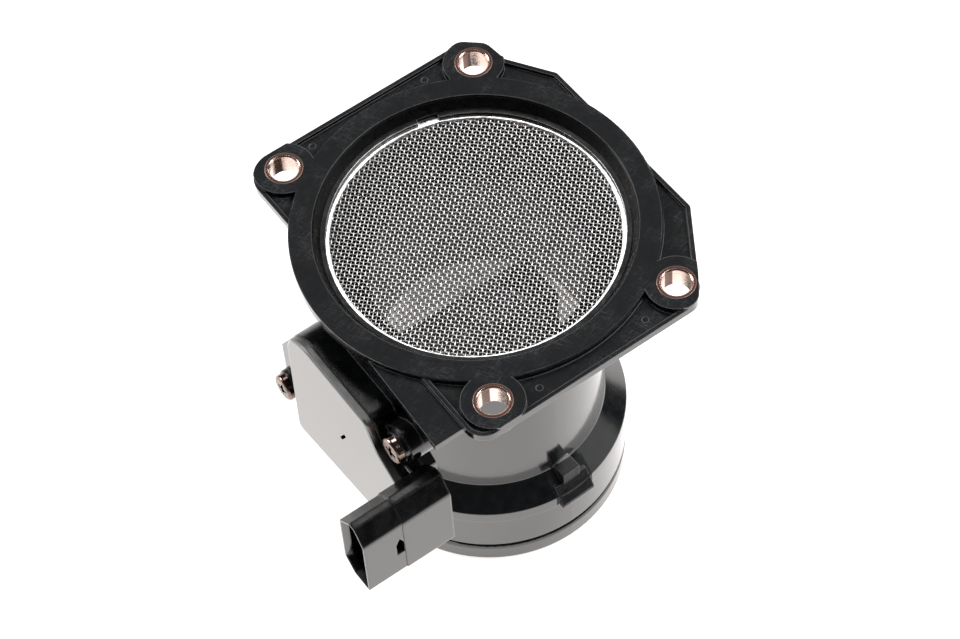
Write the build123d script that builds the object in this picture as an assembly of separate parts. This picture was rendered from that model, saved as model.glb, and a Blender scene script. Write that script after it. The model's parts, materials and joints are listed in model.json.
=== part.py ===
from build123d import *
import os
from math import atan2, degrees, hypot, radians, sin

# Mass airflow sensor, in millimetres.
# The air flows down the Z axis, from the screened inlet at the top to the hose spigot, whose end face
# is at z = 0. The sensor module is carried on the -Y side of the measuring tube. Distances along -Y
# from the flow axis are called "out", and distances down from the top of the sealing ring are called
# "drop".

# Overall height and the spigot
TOTAL_HEIGHT = 96.0
BEAD_RADIUS = 34.1
BEAD_HEIGHT = 5.4
BEAD_EDGE_RADIUS = 1.0
BEAD_TOP_RADIUS = 1.4
GROOVE_DEPTH = 0.8
GROOVE_WIDTH = 1.1
SPIGOT_RADIUS = 34.1
SPIGOT_WALL = 3.0

# Shoulder between the spigot and the measuring tube
SHOULDER_RADIUS = 34.5
SHOULDER_HEIGHT = 18.8
SHOULDER_LIP = 3.5
SHOULDER_RISE = 5.3
SHOULDER_EDGE_RADIUS = 0.4

# Measuring tube
TUBE_RADIUS = 29.1
TUBE_WALL = 3.1
FLARE_RADIUS = 37.4
FLARE_HEIGHT = 8.4
BELL_RADIUS = 33.0
BELL_HEIGHT = 9.5
BELL_CURVE = 14.0

# Inlet flange
FLANGE_THICKNESS = 1.0
PAD_DEPTH = 2.0
PAD_INSET = 1.6
BOSS_FOOT_RADIUS = 5.3
FLANGE_LEFT = 46.3
FLANGE_RIGHT = 48.5
FLANGE_FRONT = 34.2
FLANGE_REAR_LEFT = 41.8
FLANGE_REAR_RIGHT = 42.5
FLANGE_REAR_LEFT_START = 24.5
FLANGE_REAR_RIGHT_START = 26.0
FLANGE_CORNER_RADIUS = 7.0
LIP_WIDTH = 1.1
LIP_HEIGHT = 1.0
RING_OUTER_RADIUS = 43.4
RING_INNER_RADIUS = 37.9
RING_RISE = 1.8
RING_EDGE = 0.4
MARK_RADIUS = 0.8
MARK_DEPTH = 0.2
MARK_SPOTS = ((44.2, 15.3), (44.3, -14.5), (-43.0, 16.0), (-43.0, -16.5))

# Bolt bosses: centres (x, y) and their metal bushings
BOLTS = {
    "front_left": (-40.5, -26.1),
    "front_right": (41.7, -25.3),
    "rear_left": (-38.9, 27.6),
    "rear_right": (41.4, 26.4),
}
BUSHING_OUTER_RADIUS = 4.5
BUSHING_BORE_RADIUS = 3.5
BUSHING_LENGTH = 6.0
BUSHING_EDGE = 0.35
BOSS_RADIUS = 7.4

# Inlet screen and its retaining ring
SCREEN_RADIUS = 35.8
SCREEN_RIM_WIDTH = 2.6
SCREEN_RIM_LIP = 0.4
SCREEN_CLEARANCE = 0.05
WIRE_LAYER = 0.8
SCREEN_DEPTH = 4.0
COARSE_PITCH = 5.6
COARSE_WIRE = 1.3
RIDGE_WIDTH = 0.5
RIDGE_HEIGHT = 0.15
RETAINER_WIDTH = 1.7
RETAINER_BITE = 0.8
RETAINER_THICKNESS = 0.9
RETAINER_GAP_ANGLE = 8.0
RETAINER_GAP_AT = 163.0
THROAT_RADIUS = 36.0

# Locating lug on the shoulder, at +X
LUG_ANGLE = 2.0
LUG_WIDTH = 9.6
LUG_HIGH = 24.6
LUG_RADIUS = 35.7
LUG_RIB_WIDTH = 5.0
LUG_RIB_HIGH = 28.4
LUG_RIB_RADIUS = 33.2
LUG_ROOT_RADIUS = 28.5
LUG_TOP_RADIUS = 32.6
LUG_FOOT = 1.2

# Sensor seat on the housing
SEAT_OUT = 40.5
SEAT_PLATE = 3.0
SEAT_WALL = 2.6
NECK_WALL = 2.6
NECK_ROOT_OUT = 20.0
SEAT_ROOT_OUT = 21.0
SHELF_RIGHT = 42.7
SHELF_LEFT = 15.0
SHELF_OUT = 41.9
SHELF_THICKNESS = 1.5
SCREW_BOSS_RADIUS = 3.8

# Sensor case: plate, box and ears (x, z in the frame of the object)
CASE_LEFT_TOP = -9.6
CASE_LEFT_BOTTOM = -10.6
CASE_RIGHT = 35.0
CASE_TOP_LEFT_DROP = 8.8
CASE_TOP_RIGHT_DROP = 9.9
CASE_BOTTOM_LEFT_DROP = 53.6
CASE_BOTTOM_RIGHT_DROP = 48.4
CASE_SIDE_TOP_DROP = 22.6
CASE_CUT_X = 23.6
NOTCH_X = 27.6
NOTCH_DROP = 17.6
NOTCH_RADIUS = 3.5
CASE_CORNER_RADIUS = 2.4
CASE_TOP_RADIUS = 10.0
PLATE_THICKNESS = 3.4
BOX_DEPTH = 2.5
BOX_WALL = 1.8
BOX_FLOOR = 1.8
UPPER_SCREW_X = 31.4
UPPER_SCREW_DROP = 13.4
UPPER_EAR_RADIUS = 4.6
UPPER_EAR_ROOT_X = 21.6
UPPER_EAR_ROOT_DROP = 24.4
UPPER_EAR_ROOT_WIDTH = 14.0
LOWER_SCREW_X = -18.6
LOWER_SCREW_DROP = 48.6
LOWER_EAR_RADIUS = 3.9
LOWER_EAR_LEFT = -21.0
LOWER_EAR_SHOULDER_DROP = 34.7
LOWER_EAR_ROOT_DROP = 14.8
SCREW_PAD_RISE = 1.2
SCREW_PAD_MARGIN = 0.4
SCREW_CLEARANCE_RADIUS = 2.2

# Sensor cover
COVER_THICKNESS = 2.0
COVER_INSET = 0.3
COVER_EDGE_RADIUS = 0.8
COVER_RIM_HEIGHT = 0.8
COVER_RIM_CLEARANCE = 0.1
COVER_RIM_WIDTH = 0.9

# Connector shroud
SHROUD_LEFT = 35.0
SHROUD_RIGHT = 44.9
SHROUD_TOP_DROP = 16.2
SHROUD_BOTTOM_DROP = 39.8
SHROUD_TOP_CUT = 4.0
SHROUD_TOP_FLAT = 2.2
SHROUD_BOTTOM_CUT = 3.7
SHROUD_END_OUT = 64.3
SHROUD_STEP_OUT = 53.7
SHROUD_STEP = 0.25
SHROUD_SOFT_RADIUS = 1.6
SOCKET_WALL = 1.3
LEAD_WALL = 0.6
LEAD_DEPTH = 1.6
SOCKET_FLOOR_OUT = 48.0
WINDOW_GAP = 0.1
WINDOW_WIDTH = 2.1
WINDOW_LOW_DROP = 32.2
WINDOW_HIGH_DROP = 28.2
WINDOW_POINT_DROP = 25.9

# Screws
HEAD_RADIUS = 3.5
HEAD_HEIGHT = 2.0
HEAD_DOME = 0.8
SHANK_RADIUS = 1.9
SHANK_LENGTH = 11.0
RECESS_WIDTH = 1.1
RECESS_LENGTH = 3.8
RECESS_DEPTH = 1.2

# Seal between case and seat
SEAL_SECTION = 1.8
SEAL_GROOVE_DEPTH = 1.4
SEAL_MARGIN = 0.7

# Bypass duct in the bore
DUCT_LEFT = 0.0
DUCT_RIGHT = 12.0
DUCT_TOP_DROP = 24.5
DUCT_BOTTOM_DROP = 43.5
DUCT_TIP = 14.0
DUCT_WALL = 1.6
DUCT_CORNER_RADIUS = 2.0
COLLAR_MARGIN = 2.4
COLLAR_END_OUT = 30.0
COLLAR_CLEARANCE = 0.2
DUCT_COVER_THICKNESS = 1.4
INLET_WIDTH = 8.0
RETURN_HEIGHT = 6.5
OUTLET_WIDTH = 7.0
OUTLET_OUT = 11.0

# Circuit, chip and base plate
BASE_PLATE_THICKNESS = 0.8
BOARD_THICKNESS = 0.8
BOARD_MARGIN = 0.6
CHIP_LENGTH = 9.0
CHIP_WIDTH = 7.0
CHIP_HEIGHT = 1.2
CHIP_X = 4.0
CHIP_DROP = 28.0

# Terminals
TERMINAL_COUNT = 5
TERMINAL_PITCH = 3.4
TERMINAL_WIDTH = 1.0
TERMINAL_THICKNESS = 0.6
TERMINAL_END_OUT = 58.0
TERMINAL_INNER_X = 29.5

# Sensing elements and their support pins
PIN_RADIUS = 0.5
PIN_X = (3.6, 8.2)
PIN_DROP = (34.0, 29.5)
PIN_REACH = (9.5, 7.0)
ELEMENT_RADIUS = 0.5
ELEMENT_LEAD_RADIUS = 0.2
ELEMENT_END_GAP = 1.0
THERMISTOR_RADIUS = 1.2
THERMISTOR_LEG_RADIUS = 0.35
THERMISTOR_LEG_PITCH = 1.4
THERMISTOR_REACH_OUT = 14.0
THERMISTOR_GAP = 0.1

# Worked-out heights and radii
CUT = 1.0
RING_TOP = TOTAL_HEIGHT
FLOOR_TOP = RING_TOP - RING_RISE
FLANGE_BOTTOM = FLOOR_TOP - FLANGE_THICKNESS
PAD_BOTTOM = FLANGE_BOTTOM - PAD_DEPTH
BUSHING_BOTTOM = RING_TOP - BUSHING_LENGTH
BORE_RADIUS = TUBE_RADIUS - TUBE_WALL
OUTLET_RADIUS = SPIGOT_RADIUS - SPIGOT_WALL
JUNCTION_HEIGHT = SHOULDER_HEIGHT + SHOULDER_LIP + SHOULDER_RISE
SCREEN_TOP = RING_TOP - SCREEN_DEPTH
SCREEN_HEIGHT = WIRE_LAYER + 2 * SCREEN_RIM_LIP
RETAINER_OUTER_RADIUS = SCREEN_RADIUS + RETAINER_BITE
RETAINER_INNER_RADIUS = RETAINER_OUTER_RADIUS - RETAINER_WIDTH
SCREEN_BOTTOM = SCREEN_TOP - SCREEN_HEIGHT
CASE_TOP_LEFT = RING_TOP - CASE_TOP_LEFT_DROP
CASE_TOP_RIGHT = RING_TOP - CASE_TOP_RIGHT_DROP
CASE_BOTTOM_LEFT = RING_TOP - CASE_BOTTOM_LEFT_DROP
CASE_BOTTOM_RIGHT = RING_TOP - CASE_BOTTOM_RIGHT_DROP
CASE_SIDE_TOP = RING_TOP - CASE_SIDE_TOP_DROP
NOTCH_Z = RING_TOP - NOTCH_DROP
LOWER_EAR_SHOULDER = RING_TOP - LOWER_EAR_SHOULDER_DROP
LOWER_EAR_ROOT = RING_TOP - LOWER_EAR_ROOT_DROP
SHROUD_TOP = RING_TOP - SHROUD_TOP_DROP
SHROUD_BOTTOM = RING_TOP - SHROUD_BOTTOM_DROP
WINDOW_LOW = RING_TOP - WINDOW_LOW_DROP
WINDOW_HIGH = RING_TOP - WINDOW_HIGH_DROP
WINDOW_POINT = RING_TOP - WINDOW_POINT_DROP
DUCT_TOP = RING_TOP - DUCT_TOP_DROP
DUCT_BOTTOM = RING_TOP - DUCT_BOTTOM_DROP
CHIP_Z = RING_TOP - CHIP_DROP
UPPER_SCREW = (UPPER_SCREW_X, RING_TOP - UPPER_SCREW_DROP)
UPPER_EAR_ROOT = (UPPER_EAR_ROOT_X, RING_TOP - UPPER_EAR_ROOT_DROP)
LOWER_SCREW = (LOWER_SCREW_X, RING_TOP - LOWER_SCREW_DROP)
PIN_Z = tuple(RING_TOP - drop for drop in PIN_DROP)
PLATE_OUT = SEAT_OUT + PLATE_THICKNESS
BOX_OUT = PLATE_OUT + BOX_DEPTH
HEAD_BASE_OUT = PLATE_OUT + SCREW_PAD_RISE
SCREW_END_OUT = HEAD_BASE_OUT - SHANK_LENGTH
COVER_OUT = BOX_OUT + COVER_THICKNESS
CAVITY_OUT = SEAT_OUT + BOX_FLOOR
BOARD_OUT = CAVITY_OUT + BASE_PLATE_THICKNESS
BOARD_FRONT = BOARD_OUT + BOARD_THICKNESS
DUCT_MIDDLE_X = (DUCT_LEFT + DUCT_RIGHT) / 2
DUCT_MIDDLE_Z = (DUCT_TOP + DUCT_BOTTOM) / 2
THERMISTOR_Z = DUCT_BOTTOM - THERMISTOR_RADIUS - THERMISTOR_GAP
COLLAR_WIDTH = DUCT_RIGHT - DUCT_LEFT + 2 * COLLAR_MARGIN
COLLAR_HEIGHT = DUCT_TOP - DUCT_BOTTOM + 2 * COLLAR_MARGIN
SHROUD_MIDDLE_X = (SHROUD_LEFT + SHROUD_RIGHT) / 2
SHROUD_MIDDLE_Z = (SHROUD_TOP + SHROUD_BOTTOM) / 2


# Shared helpers

def rounded_outline(corners):
    """Face bounded by straight sides, each corner given as (x, y, corner radius)."""
    line = FilletPolyline(*[(x, y) for x, y, _ in corners], radius=[r for _, _, r in corners], close=True)
    return make_face(line)


def turned(corners):
    """Solid of revolution about the flow axis, from corners given as (radius, height, corner radius)."""
    return revolve(Plane.XZ * rounded_outline(corners), Axis.Z)


def upright(face, low, high):
    """Prism of a plan outline between two heights."""
    return extrude(Pos(0, 0, low) * face, high - low)


def outward(face, near, far):
    """Prism of an outline in x and z, between two distances out from the flow axis."""
    return extrude(Plane.XZ.offset(near) * face, far - near)


def outward_rod(x, z, radius, near, far):
    """Round rod along -Y."""
    return outward(Pos(x, z) * Circle(radius), near, far)


# Housing

def flange_outline():
    """Plan of the inlet flange: square corners in front, cut corners behind."""
    front, left, right = -FLANGE_FRONT, -FLANGE_LEFT, FLANGE_RIGHT
    rear_left, rear_right = BOLTS["rear_left"], BOLTS["rear_right"]
    boss_edge = BOSS_RADIUS - 0.9
    corners = [
        (left, front, FLANGE_CORNER_RADIUS),
        (right, front, FLANGE_CORNER_RADIUS - 2),
        (right, rear_right[1] + 1.0, 4.0),
        (rear_right[0] + 1.0, rear_right[1] + boss_edge - 1.0, 3.0),
        (FLANGE_REAR_RIGHT_START, FLANGE_REAR_RIGHT, 1.5),
        (-FLANGE_REAR_LEFT_START, FLANGE_REAR_LEFT, 1.5),
        (rear_left[0] + 2.6, rear_left[1] + boss_edge, 2.0),
        (rear_left[0] - 3.0, rear_left[1] + boss_edge - 0.6, 3.5),
        (left, rear_left[1] + 1.0, 3.5),
    ]
    return rounded_outline(corners)


def turned_body():
    """Outside of the spigot, shoulder, measuring tube and sealing ring, as one turned solid."""
    groove_radius = SPIGOT_RADIUS - GROOVE_DEPTH
    return turned([
        (0, 0, 0),
        (BEAD_RADIUS, 0, BEAD_EDGE_RADIUS),
        (BEAD_RADIUS, BEAD_HEIGHT, BEAD_TOP_RADIUS),
        (groove_radius, BEAD_HEIGHT + GROOVE_DEPTH, 0),
        (groove_radius, BEAD_HEIGHT + GROOVE_WIDTH, 0),
        (SPIGOT_RADIUS, BEAD_HEIGHT + GROOVE_WIDTH + GROOVE_DEPTH, 0),
        (SPIGOT_RADIUS, SHOULDER_HEIGHT, 0),
        (SHOULDER_RADIUS, SHOULDER_HEIGHT, 0),
        (SHOULDER_RADIUS, SHOULDER_HEIGHT + SHOULDER_LIP, SHOULDER_EDGE_RADIUS),
        (TUBE_RADIUS, JUNCTION_HEIGHT, SHOULDER_EDGE_RADIUS),
        (TUBE_RADIUS, PAD_BOTTOM - FLARE_HEIGHT, 3.0),
        (FLARE_RADIUS, PAD_BOTTOM, 0),
        (FLARE_RADIUS, FLANGE_BOTTOM, 0),
        (RING_OUTER_RADIUS, FLANGE_BOTTOM, 0),
        (RING_OUTER_RADIUS, RING_TOP, RING_EDGE),
        (0, RING_TOP, 0),
    ])


def air_space():
    """The whole space that the air and the screen take, from the outlet to the mouth of the ring."""
    bell_low = SCREEN_BOTTOM - BELL_HEIGHT
    retainer_top = SCREEN_TOP + RETAINER_THICKNESS
    pocket = SCREEN_RADIUS + SCREEN_CLEARANCE
    return turned([
        (0, -CUT, 0),
        (OUTLET_RADIUS, -CUT, 0),
        (OUTLET_RADIUS, JUNCTION_HEIGHT - SHOULDER_RISE - SPIGOT_WALL, 4.0),
        (BORE_RADIUS, JUNCTION_HEIGHT + SPIGOT_WALL / 2, 4.0),
        (BORE_RADIUS, bell_low, BELL_CURVE),
        (BELL_RADIUS, SCREEN_BOTTOM, 0),
        (pocket, SCREEN_BOTTOM, 0),
        (pocket, SCREEN_TOP, 0),
        (RETAINER_OUTER_RADIUS, SCREEN_TOP, 0),
        (RETAINER_OUTER_RADIUS, retainer_top, 0),
        (THROAT_RADIUS, retainer_top, 0),
        (RING_INNER_RADIUS - RING_EDGE, RING_TOP - RING_EDGE, 0),
        (RING_INNER_RADIUS, RING_TOP, 0),
        (RING_INNER_RADIUS, RING_TOP + CUT, 0),
        (0, RING_TOP + CUT, 0),
    ])


def flange():
    """Flange floor with its edge lip, a stiffening pad beneath it and the four bolt bosses."""
    outline = flange_outline()
    body = upright(outline, FLANGE_BOTTOM, FLOOR_TOP)
    body += upright(offset(outline, -PAD_INSET, kind=Kind.INTERSECTION), PAD_BOTTOM, FLANGE_BOTTOM)
    lip = outline - offset(outline, -LIP_WIDTH, kind=Kind.INTERSECTION)
    body += upright(lip, FLANGE_BOTTOM, FLOOR_TOP + LIP_HEIGHT)
    for x, y in BOLTS.values():
        disc = Pos(x, y) * Circle(BOSS_RADIUS)
        body += upright(disc & outline, FLANGE_BOTTOM, RING_TOP)
        body += upright(Pos(x, y) * Circle(BOSS_FOOT_RADIUS), BUSHING_BOTTOM, FLOOR_TOP)
    return body


def bushing_holes():
    """The four holes that the metal bushings fill."""
    return [upright(Pos(x, y) * Circle(BUSHING_OUTER_RADIUS), BUSHING_BOTTOM - CUT, RING_TOP + CUT)
            for x, y in BOLTS.values()]


def ejector_marks():
    """Shallow round marks that the ejector pins left on the flange floor."""
    return [Pos(x, y, FLOOR_TOP) * Cylinder(MARK_RADIUS, 2 * MARK_DEPTH) for x, y in MARK_SPOTS]


def locating_lug():
    """T-shaped key on the shoulder: a bar with a sloping face, and a narrow rib above it."""
    def bar(width, profile):
        face = make_face(Polyline(*profile, close=True))
        return Rot(0, 0, LUG_ANGLE) * extrude(Plane.XZ * face, width / 2, both=True)
    root, low, high = LUG_ROOT_RADIUS, SHOULDER_HEIGHT, LUG_HIGH
    key = bar(LUG_WIDTH, [(root, low), (LUG_RADIUS, low), (LUG_RADIUS, low + LUG_FOOT),
                          (LUG_TOP_RADIUS, high), (root, high)])
    rib = bar(LUG_RIB_WIDTH, [(root, high), (LUG_RIB_RADIUS, high), (LUG_RIB_RADIUS, LUG_RIB_HIGH),
                              (root, LUG_RIB_HIGH)])
    return key + rib


def box_outline(inset=0.0):
    """Outline of the box and its cover, in x and z: a notch at the upper right clears the screw."""
    r = CASE_CORNER_RADIUS
    face = rounded_outline([
        (CASE_LEFT_BOTTOM, CASE_BOTTOM_LEFT, r),
        (CASE_RIGHT, CASE_BOTTOM_RIGHT, r),
        (CASE_RIGHT, CASE_SIDE_TOP, r / 2),
        (NOTCH_X, NOTCH_Z, NOTCH_RADIUS),
        (CASE_CUT_X, CASE_TOP_RIGHT, r),
        (CASE_LEFT_TOP, CASE_TOP_LEFT, CASE_TOP_RADIUS),
    ])
    return offset(face, -inset, kind=Kind.INTERSECTION) if inset else face


def upper_ear():
    """Rounded ear about the upper screw, on a web that widens towards the box."""
    x, z = UPPER_SCREW
    dx, dz = UPPER_EAR_ROOT[0] - x, UPPER_EAR_ROOT[1] - z
    length, half = hypot(dx, dz), UPPER_EAR_ROOT_WIDTH / 2
    web = make_face(Polyline(
        (0, -UPPER_EAR_RADIUS), (length, -half), (length, half), (0, UPPER_EAR_RADIUS), close=True))
    turn = degrees(atan2(dz, dx))
    return Pos(x, z) * Circle(UPPER_EAR_RADIUS) + Pos(x, z) * Rot(0, 0, turn) * web


def lower_ear():
    """Wide ear about the lower screw, with a sloping top edge that runs up to the box's corner."""
    x, z = LOWER_SCREW
    inside = CASE_LEFT_TOP + CASE_TOP_RADIUS / 10
    web = make_face(Polyline(
        (inside, LOWER_EAR_ROOT), (LOWER_EAR_LEFT, LOWER_EAR_SHOULDER), (LOWER_EAR_LEFT, z),
        (x, z - LOWER_EAR_RADIUS), (inside, CASE_BOTTOM_LEFT + 1.0), close=True))
    return Pos(x, z) * Circle(LOWER_EAR_RADIUS) + web


def plate_outline():
    """Outline of the case's mounting plate: the box outline and two ears."""
    return box_outline() + upper_ear() + lower_ear()


def neck_outline(margin):
    """Rounded rectangle about the duct's collar, in x and z."""
    face = RectangleRounded(COLLAR_WIDTH + 2 * margin, COLLAR_HEIGHT + 2 * margin,
                            DUCT_CORNER_RADIUS + margin)
    return Pos(DUCT_MIDDLE_X, DUCT_MIDDLE_Z) * face


def seat_pockets():
    """Outlines of the hollows behind the seat: one open downwards, one open to the right."""
    neck_half = COLLAR_WIDTH / 2 + COLLAR_CLEARANCE + NECK_WALL
    left, right = DUCT_MIDDLE_X - neck_half, DUCT_MIDDLE_X + neck_half
    low = CASE_BOTTOM_LEFT - 2 * SEAT_WALL
    x, z = LOWER_SCREW
    left_side = make_face(Polyline(
        (x + SCREW_BOSS_RADIUS, low), (left, low), (left, CASE_TOP_LEFT - 3 * SEAT_WALL),
        (CASE_LEFT_TOP + SEAT_WALL, CASE_TOP_LEFT - 4 * SEAT_WALL),
        (x + SCREW_BOSS_RADIUS, z + 4 * SEAT_WALL), close=True))
    right_side = make_face(Polyline(
        (right, low), (SHELF_RIGHT, low), (SHELF_RIGHT, PAD_BOTTOM), (right, PAD_BOTTOM), close=True))
    return [left_side, right_side]


def sensor_seat():
    """Deep seat for the module: a skirt of the plate's outline that runs back to the tube."""
    back = SEAT_OUT - SEAT_PLATE
    body = outward(plate_outline(), SEAT_ROOT_OUT, SEAT_OUT)
    tube = Cylinder(TUBE_RADIUS, 2 * TOTAL_HEIGHT)
    for pocket in seat_pockets():
        body -= outward(pocket, 0, back) - tube
    body += outward_rod(*UPPER_SCREW, SCREW_BOSS_RADIUS, SCREW_END_OUT - NECK_WALL, back)
    return body + outward(neck_outline(COLLAR_CLEARANCE + NECK_WALL), NECK_ROOT_OUT, back)


def sensor_shelf():
    """Thin shelf that runs from the flange's front edge out over the module's seat."""
    face = make_face(Polyline(
        (SHELF_LEFT, -FLANGE_FRONT + 4), (SHELF_RIGHT, -FLANGE_FRONT + 4),
        (SHELF_RIGHT, -SHELF_OUT), (SHELF_LEFT, -SHELF_OUT + 1.2), close=True))
    return upright(face, FLOOR_TOP - SHELF_THICKNESS, FLOOR_TOP)


def housing():
    """The black moulding that carries everything else."""
    body = turned_body() + flange() + sensor_seat() + sensor_shelf() + locating_lug()
    body -= air_space()
    for hole in bushing_holes() + ejector_marks():
        body -= hole
    body -= outward(neck_outline(COLLAR_CLEARANCE), 0, SEAT_OUT + CUT)
    for x, z in (UPPER_SCREW, LOWER_SCREW):
        body -= outward_rod(x, z, SHANK_RADIUS, SCREW_END_OUT, SEAT_OUT + CUT)
    return body


# Metal fittings of the flange

def bushing(x, y):
    """Compression limiter: a plain metal tube with broken edges."""
    inner, outer, edge = BUSHING_BORE_RADIUS, BUSHING_OUTER_RADIUS, BUSHING_EDGE
    wall = turned([
        (inner + edge, 0, 0), (outer, 0, 0), (outer, BUSHING_LENGTH, 0),
        (inner + edge, BUSHING_LENGTH, 0), (inner, BUSHING_LENGTH - edge, 0), (inner, edge, 0),
    ])
    return Pos(x, y, BUSHING_BOTTOM) * wall


def screen_ring():
    """Folded metal rim, open inwards, that grips the edge of the wire mesh."""
    inner = SCREEN_RADIUS - SCREEN_RIM_WIDTH
    wall = SCREEN_RADIUS - 2 * SCREEN_RIM_LIP
    low, high = SCREEN_BOTTOM, SCREEN_TOP
    return turned([
        (inner, low, 0), (SCREEN_RADIUS, low, 0.3), (SCREEN_RADIUS, high, 0.3), (inner, high, 0),
        (inner, high - SCREEN_RIM_LIP, 0), (wall, high - SCREEN_RIM_LIP, 0),
        (wall, low + SCREEN_RIM_LIP, 0), (inner, low + SCREEN_RIM_LIP, 0),
    ])


def screen_mesh():
    """Wire screen, with a coarse grid of gaps and crossing ridges in place of the fine weave."""
    radius = SCREEN_RADIUS - 2 * SCREEN_RIM_LIP
    open_radius = SCREEN_RADIUS - SCREEN_RIM_WIDTH
    count = int(2 * open_radius / COARSE_PITCH) + 1
    gap = COARSE_PITCH - COARSE_WIRE
    reach = open_radius - gap / 2
    spots = [spot for spot in GridLocations(COARSE_PITCH, COARSE_PITCH, count, count)
             if hypot(spot.position.X, spot.position.Y) < reach]
    disc = Circle(radius) - [spot * Rectangle(gap, gap) for spot in spots]
    low, high = SCREEN_BOTTOM + SCREEN_RIM_LIP + RIDGE_HEIGHT, SCREEN_TOP - SCREEN_RIM_LIP - RIDGE_HEIGHT
    body = upright(disc, low, high)
    within = Circle(open_radius)
    lines = [(i - count / 2) * COARSE_PITCH for i in range(count + 1)]
    for at in lines:
        if abs(at) < open_radius - RIDGE_WIDTH:
            across = (Pos(0, at) * Rectangle(2 * radius, RIDGE_WIDTH)) & within
            along = (Pos(at, 0) * Rectangle(RIDGE_WIDTH, 2 * radius)) & within
            body += upright(across, high, high + RIDGE_HEIGHT)
            body += upright(along, low - RIDGE_HEIGHT, low)
    return body


def retaining_ring():
    """Flat spring ring with a gap, sprung into the groove above the screen."""
    ring = Circle(RETAINER_OUTER_RADIUS) - Circle(RETAINER_INNER_RADIUS)
    width = 2 * RETAINER_OUTER_RADIUS * sin(radians(RETAINER_GAP_ANGLE / 2))
    slot = Pos(RETAINER_OUTER_RADIUS, 0) * Rectangle(4 * SCREEN_RIM_WIDTH, width)
    ring -= Rot(0, 0, RETAINER_GAP_AT) * slot
    return upright(ring, SCREEN_TOP, SCREEN_TOP + RETAINER_THICKNESS)


# Sensor module

def shroud_outline(grow=0.0):
    """Outline of the connector: a tall slot shape with three cut corners, in x and z."""
    left, right, low, high = SHROUD_LEFT, SHROUD_RIGHT, SHROUD_BOTTOM, SHROUD_TOP
    peak = SHROUD_MIDDLE_X + 0.6
    face = rounded_outline([
        (right, low, 0.5),
        (right, high - SHROUD_TOP_CUT - 0.5, SHROUD_SOFT_RADIUS),
        (peak + SHROUD_TOP_FLAT / 2, high, SHROUD_SOFT_RADIUS / 2),
        (peak - SHROUD_TOP_FLAT / 2, high, 0.5),
        (left, high - SHROUD_TOP_CUT, 0.5),
        (left, low + SHROUD_BOTTOM_CUT, 0.5),
        (left + SHROUD_BOTTOM_CUT, low, 0.5),
    ])
    return offset(face, grow, kind=Kind.INTERSECTION) if grow else face


def latch_window():
    """Small arrow-headed window through the connector's side, for the plug's latch."""
    near, far = -SHROUD_STEP_OUT - WINDOW_GAP, -SHROUD_STEP_OUT - WINDOW_GAP - WINDOW_WIDTH
    face = make_face(Polyline(
        (near, WINDOW_LOW), (near, WINDOW_HIGH), ((near + far) / 2, WINDOW_POINT),
        (far, WINDOW_HIGH), (far, WINDOW_LOW), close=True))
    return extrude(Plane.YZ.offset(SHROUD_RIGHT - SOCKET_WALL - CUT) * face, SOCKET_WALL + 2 * CUT)


def socket_lead():
    """Widening of the socket at its mouth, which guides the plug in."""
    inner = Plane.XZ.offset(SHROUD_END_OUT - LEAD_DEPTH) * shroud_outline(-SOCKET_WALL)
    outer = Plane.XZ.offset(SHROUD_END_OUT + CUT / 10) * shroud_outline(-LEAD_WALL)
    return loft([inner, outer])


def sensor_case(terminals):
    """Module moulding: plate with ears, open box, connector shroud, seal groove and pin holes."""
    body = outward(plate_outline(), SEAT_OUT, PLATE_OUT)
    body += outward(box_outline(), PLATE_OUT, BOX_OUT)
    body += outward(shroud_outline(), SEAT_OUT, SHROUD_STEP_OUT)
    body += outward(shroud_outline(-SHROUD_STEP), SHROUD_STEP_OUT, SHROUD_END_OUT)
    body -= outward(box_outline(BOX_WALL), CAVITY_OUT, BOX_OUT + CUT)
    body -= outward(shroud_outline(-SOCKET_WALL), SOCKET_FLOOR_OUT, SHROUD_END_OUT + CUT)
    body -= socket_lead() + latch_window()
    groove = neck_outline(SEAL_MARGIN + SEAL_SECTION) - neck_outline(SEAL_MARGIN)
    body -= outward(groove, SEAT_OUT - CUT, SEAT_OUT + SEAL_GROOVE_DEPTH)
    for x, z in (UPPER_SCREW, LOWER_SCREW):
        body += outward_rod(x, z, HEAD_RADIUS + SCREW_PAD_MARGIN, SEAT_OUT, HEAD_BASE_OUT)
        body -= outward_rod(x, z, SCREW_CLEARANCE_RADIUS, SEAT_OUT - CUT, HEAD_BASE_OUT + CUT)
    for x, z in pin_places():
        body -= outward_rod(x, z, PIN_RADIUS, SEAT_OUT - CUT, CAVITY_OUT + CUT)
    for x, z in thermistor_places():
        body -= outward_rod(x, z, THERMISTOR_LEG_RADIUS, SEAT_OUT - CUT, CAVITY_OUT + CUT)
    for blade in terminals:
        body -= blade
    return body


def sensor_cover():
    """Lid with a rounded front edge and a locating rim behind."""
    body = outward(box_outline(COVER_INSET), BOX_OUT, COVER_OUT)
    front = body.faces().sort_by(Axis.Y)[0]
    body = fillet(front.edges(), COVER_EDGE_RADIUS)
    outer = BOX_WALL + COVER_RIM_CLEARANCE
    rim = box_outline(outer) - box_outline(outer + COVER_RIM_WIDTH)
    return body + outward(rim, BOX_OUT - COVER_RIM_HEIGHT, BOX_OUT)


def case_screw(x, z):
    """Pan-head screw with a cross recess; its shank is plain where the thread would be."""
    top = HEAD_BASE_OUT + HEAD_HEIGHT
    body = outward_rod(x, z, HEAD_RADIUS, HEAD_BASE_OUT, top)
    body = fillet(body.faces().sort_by(Axis.Y)[0].edges(), HEAD_DOME)
    body += outward_rod(x, z, SHANK_RADIUS, SCREW_END_OUT, HEAD_BASE_OUT)
    cross = Rectangle(RECESS_LENGTH, RECESS_WIDTH) + Rectangle(RECESS_WIDTH, RECESS_LENGTH)
    return body - outward(Pos(x, z) * cross, top - RECESS_DEPTH, top + CUT)


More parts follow.
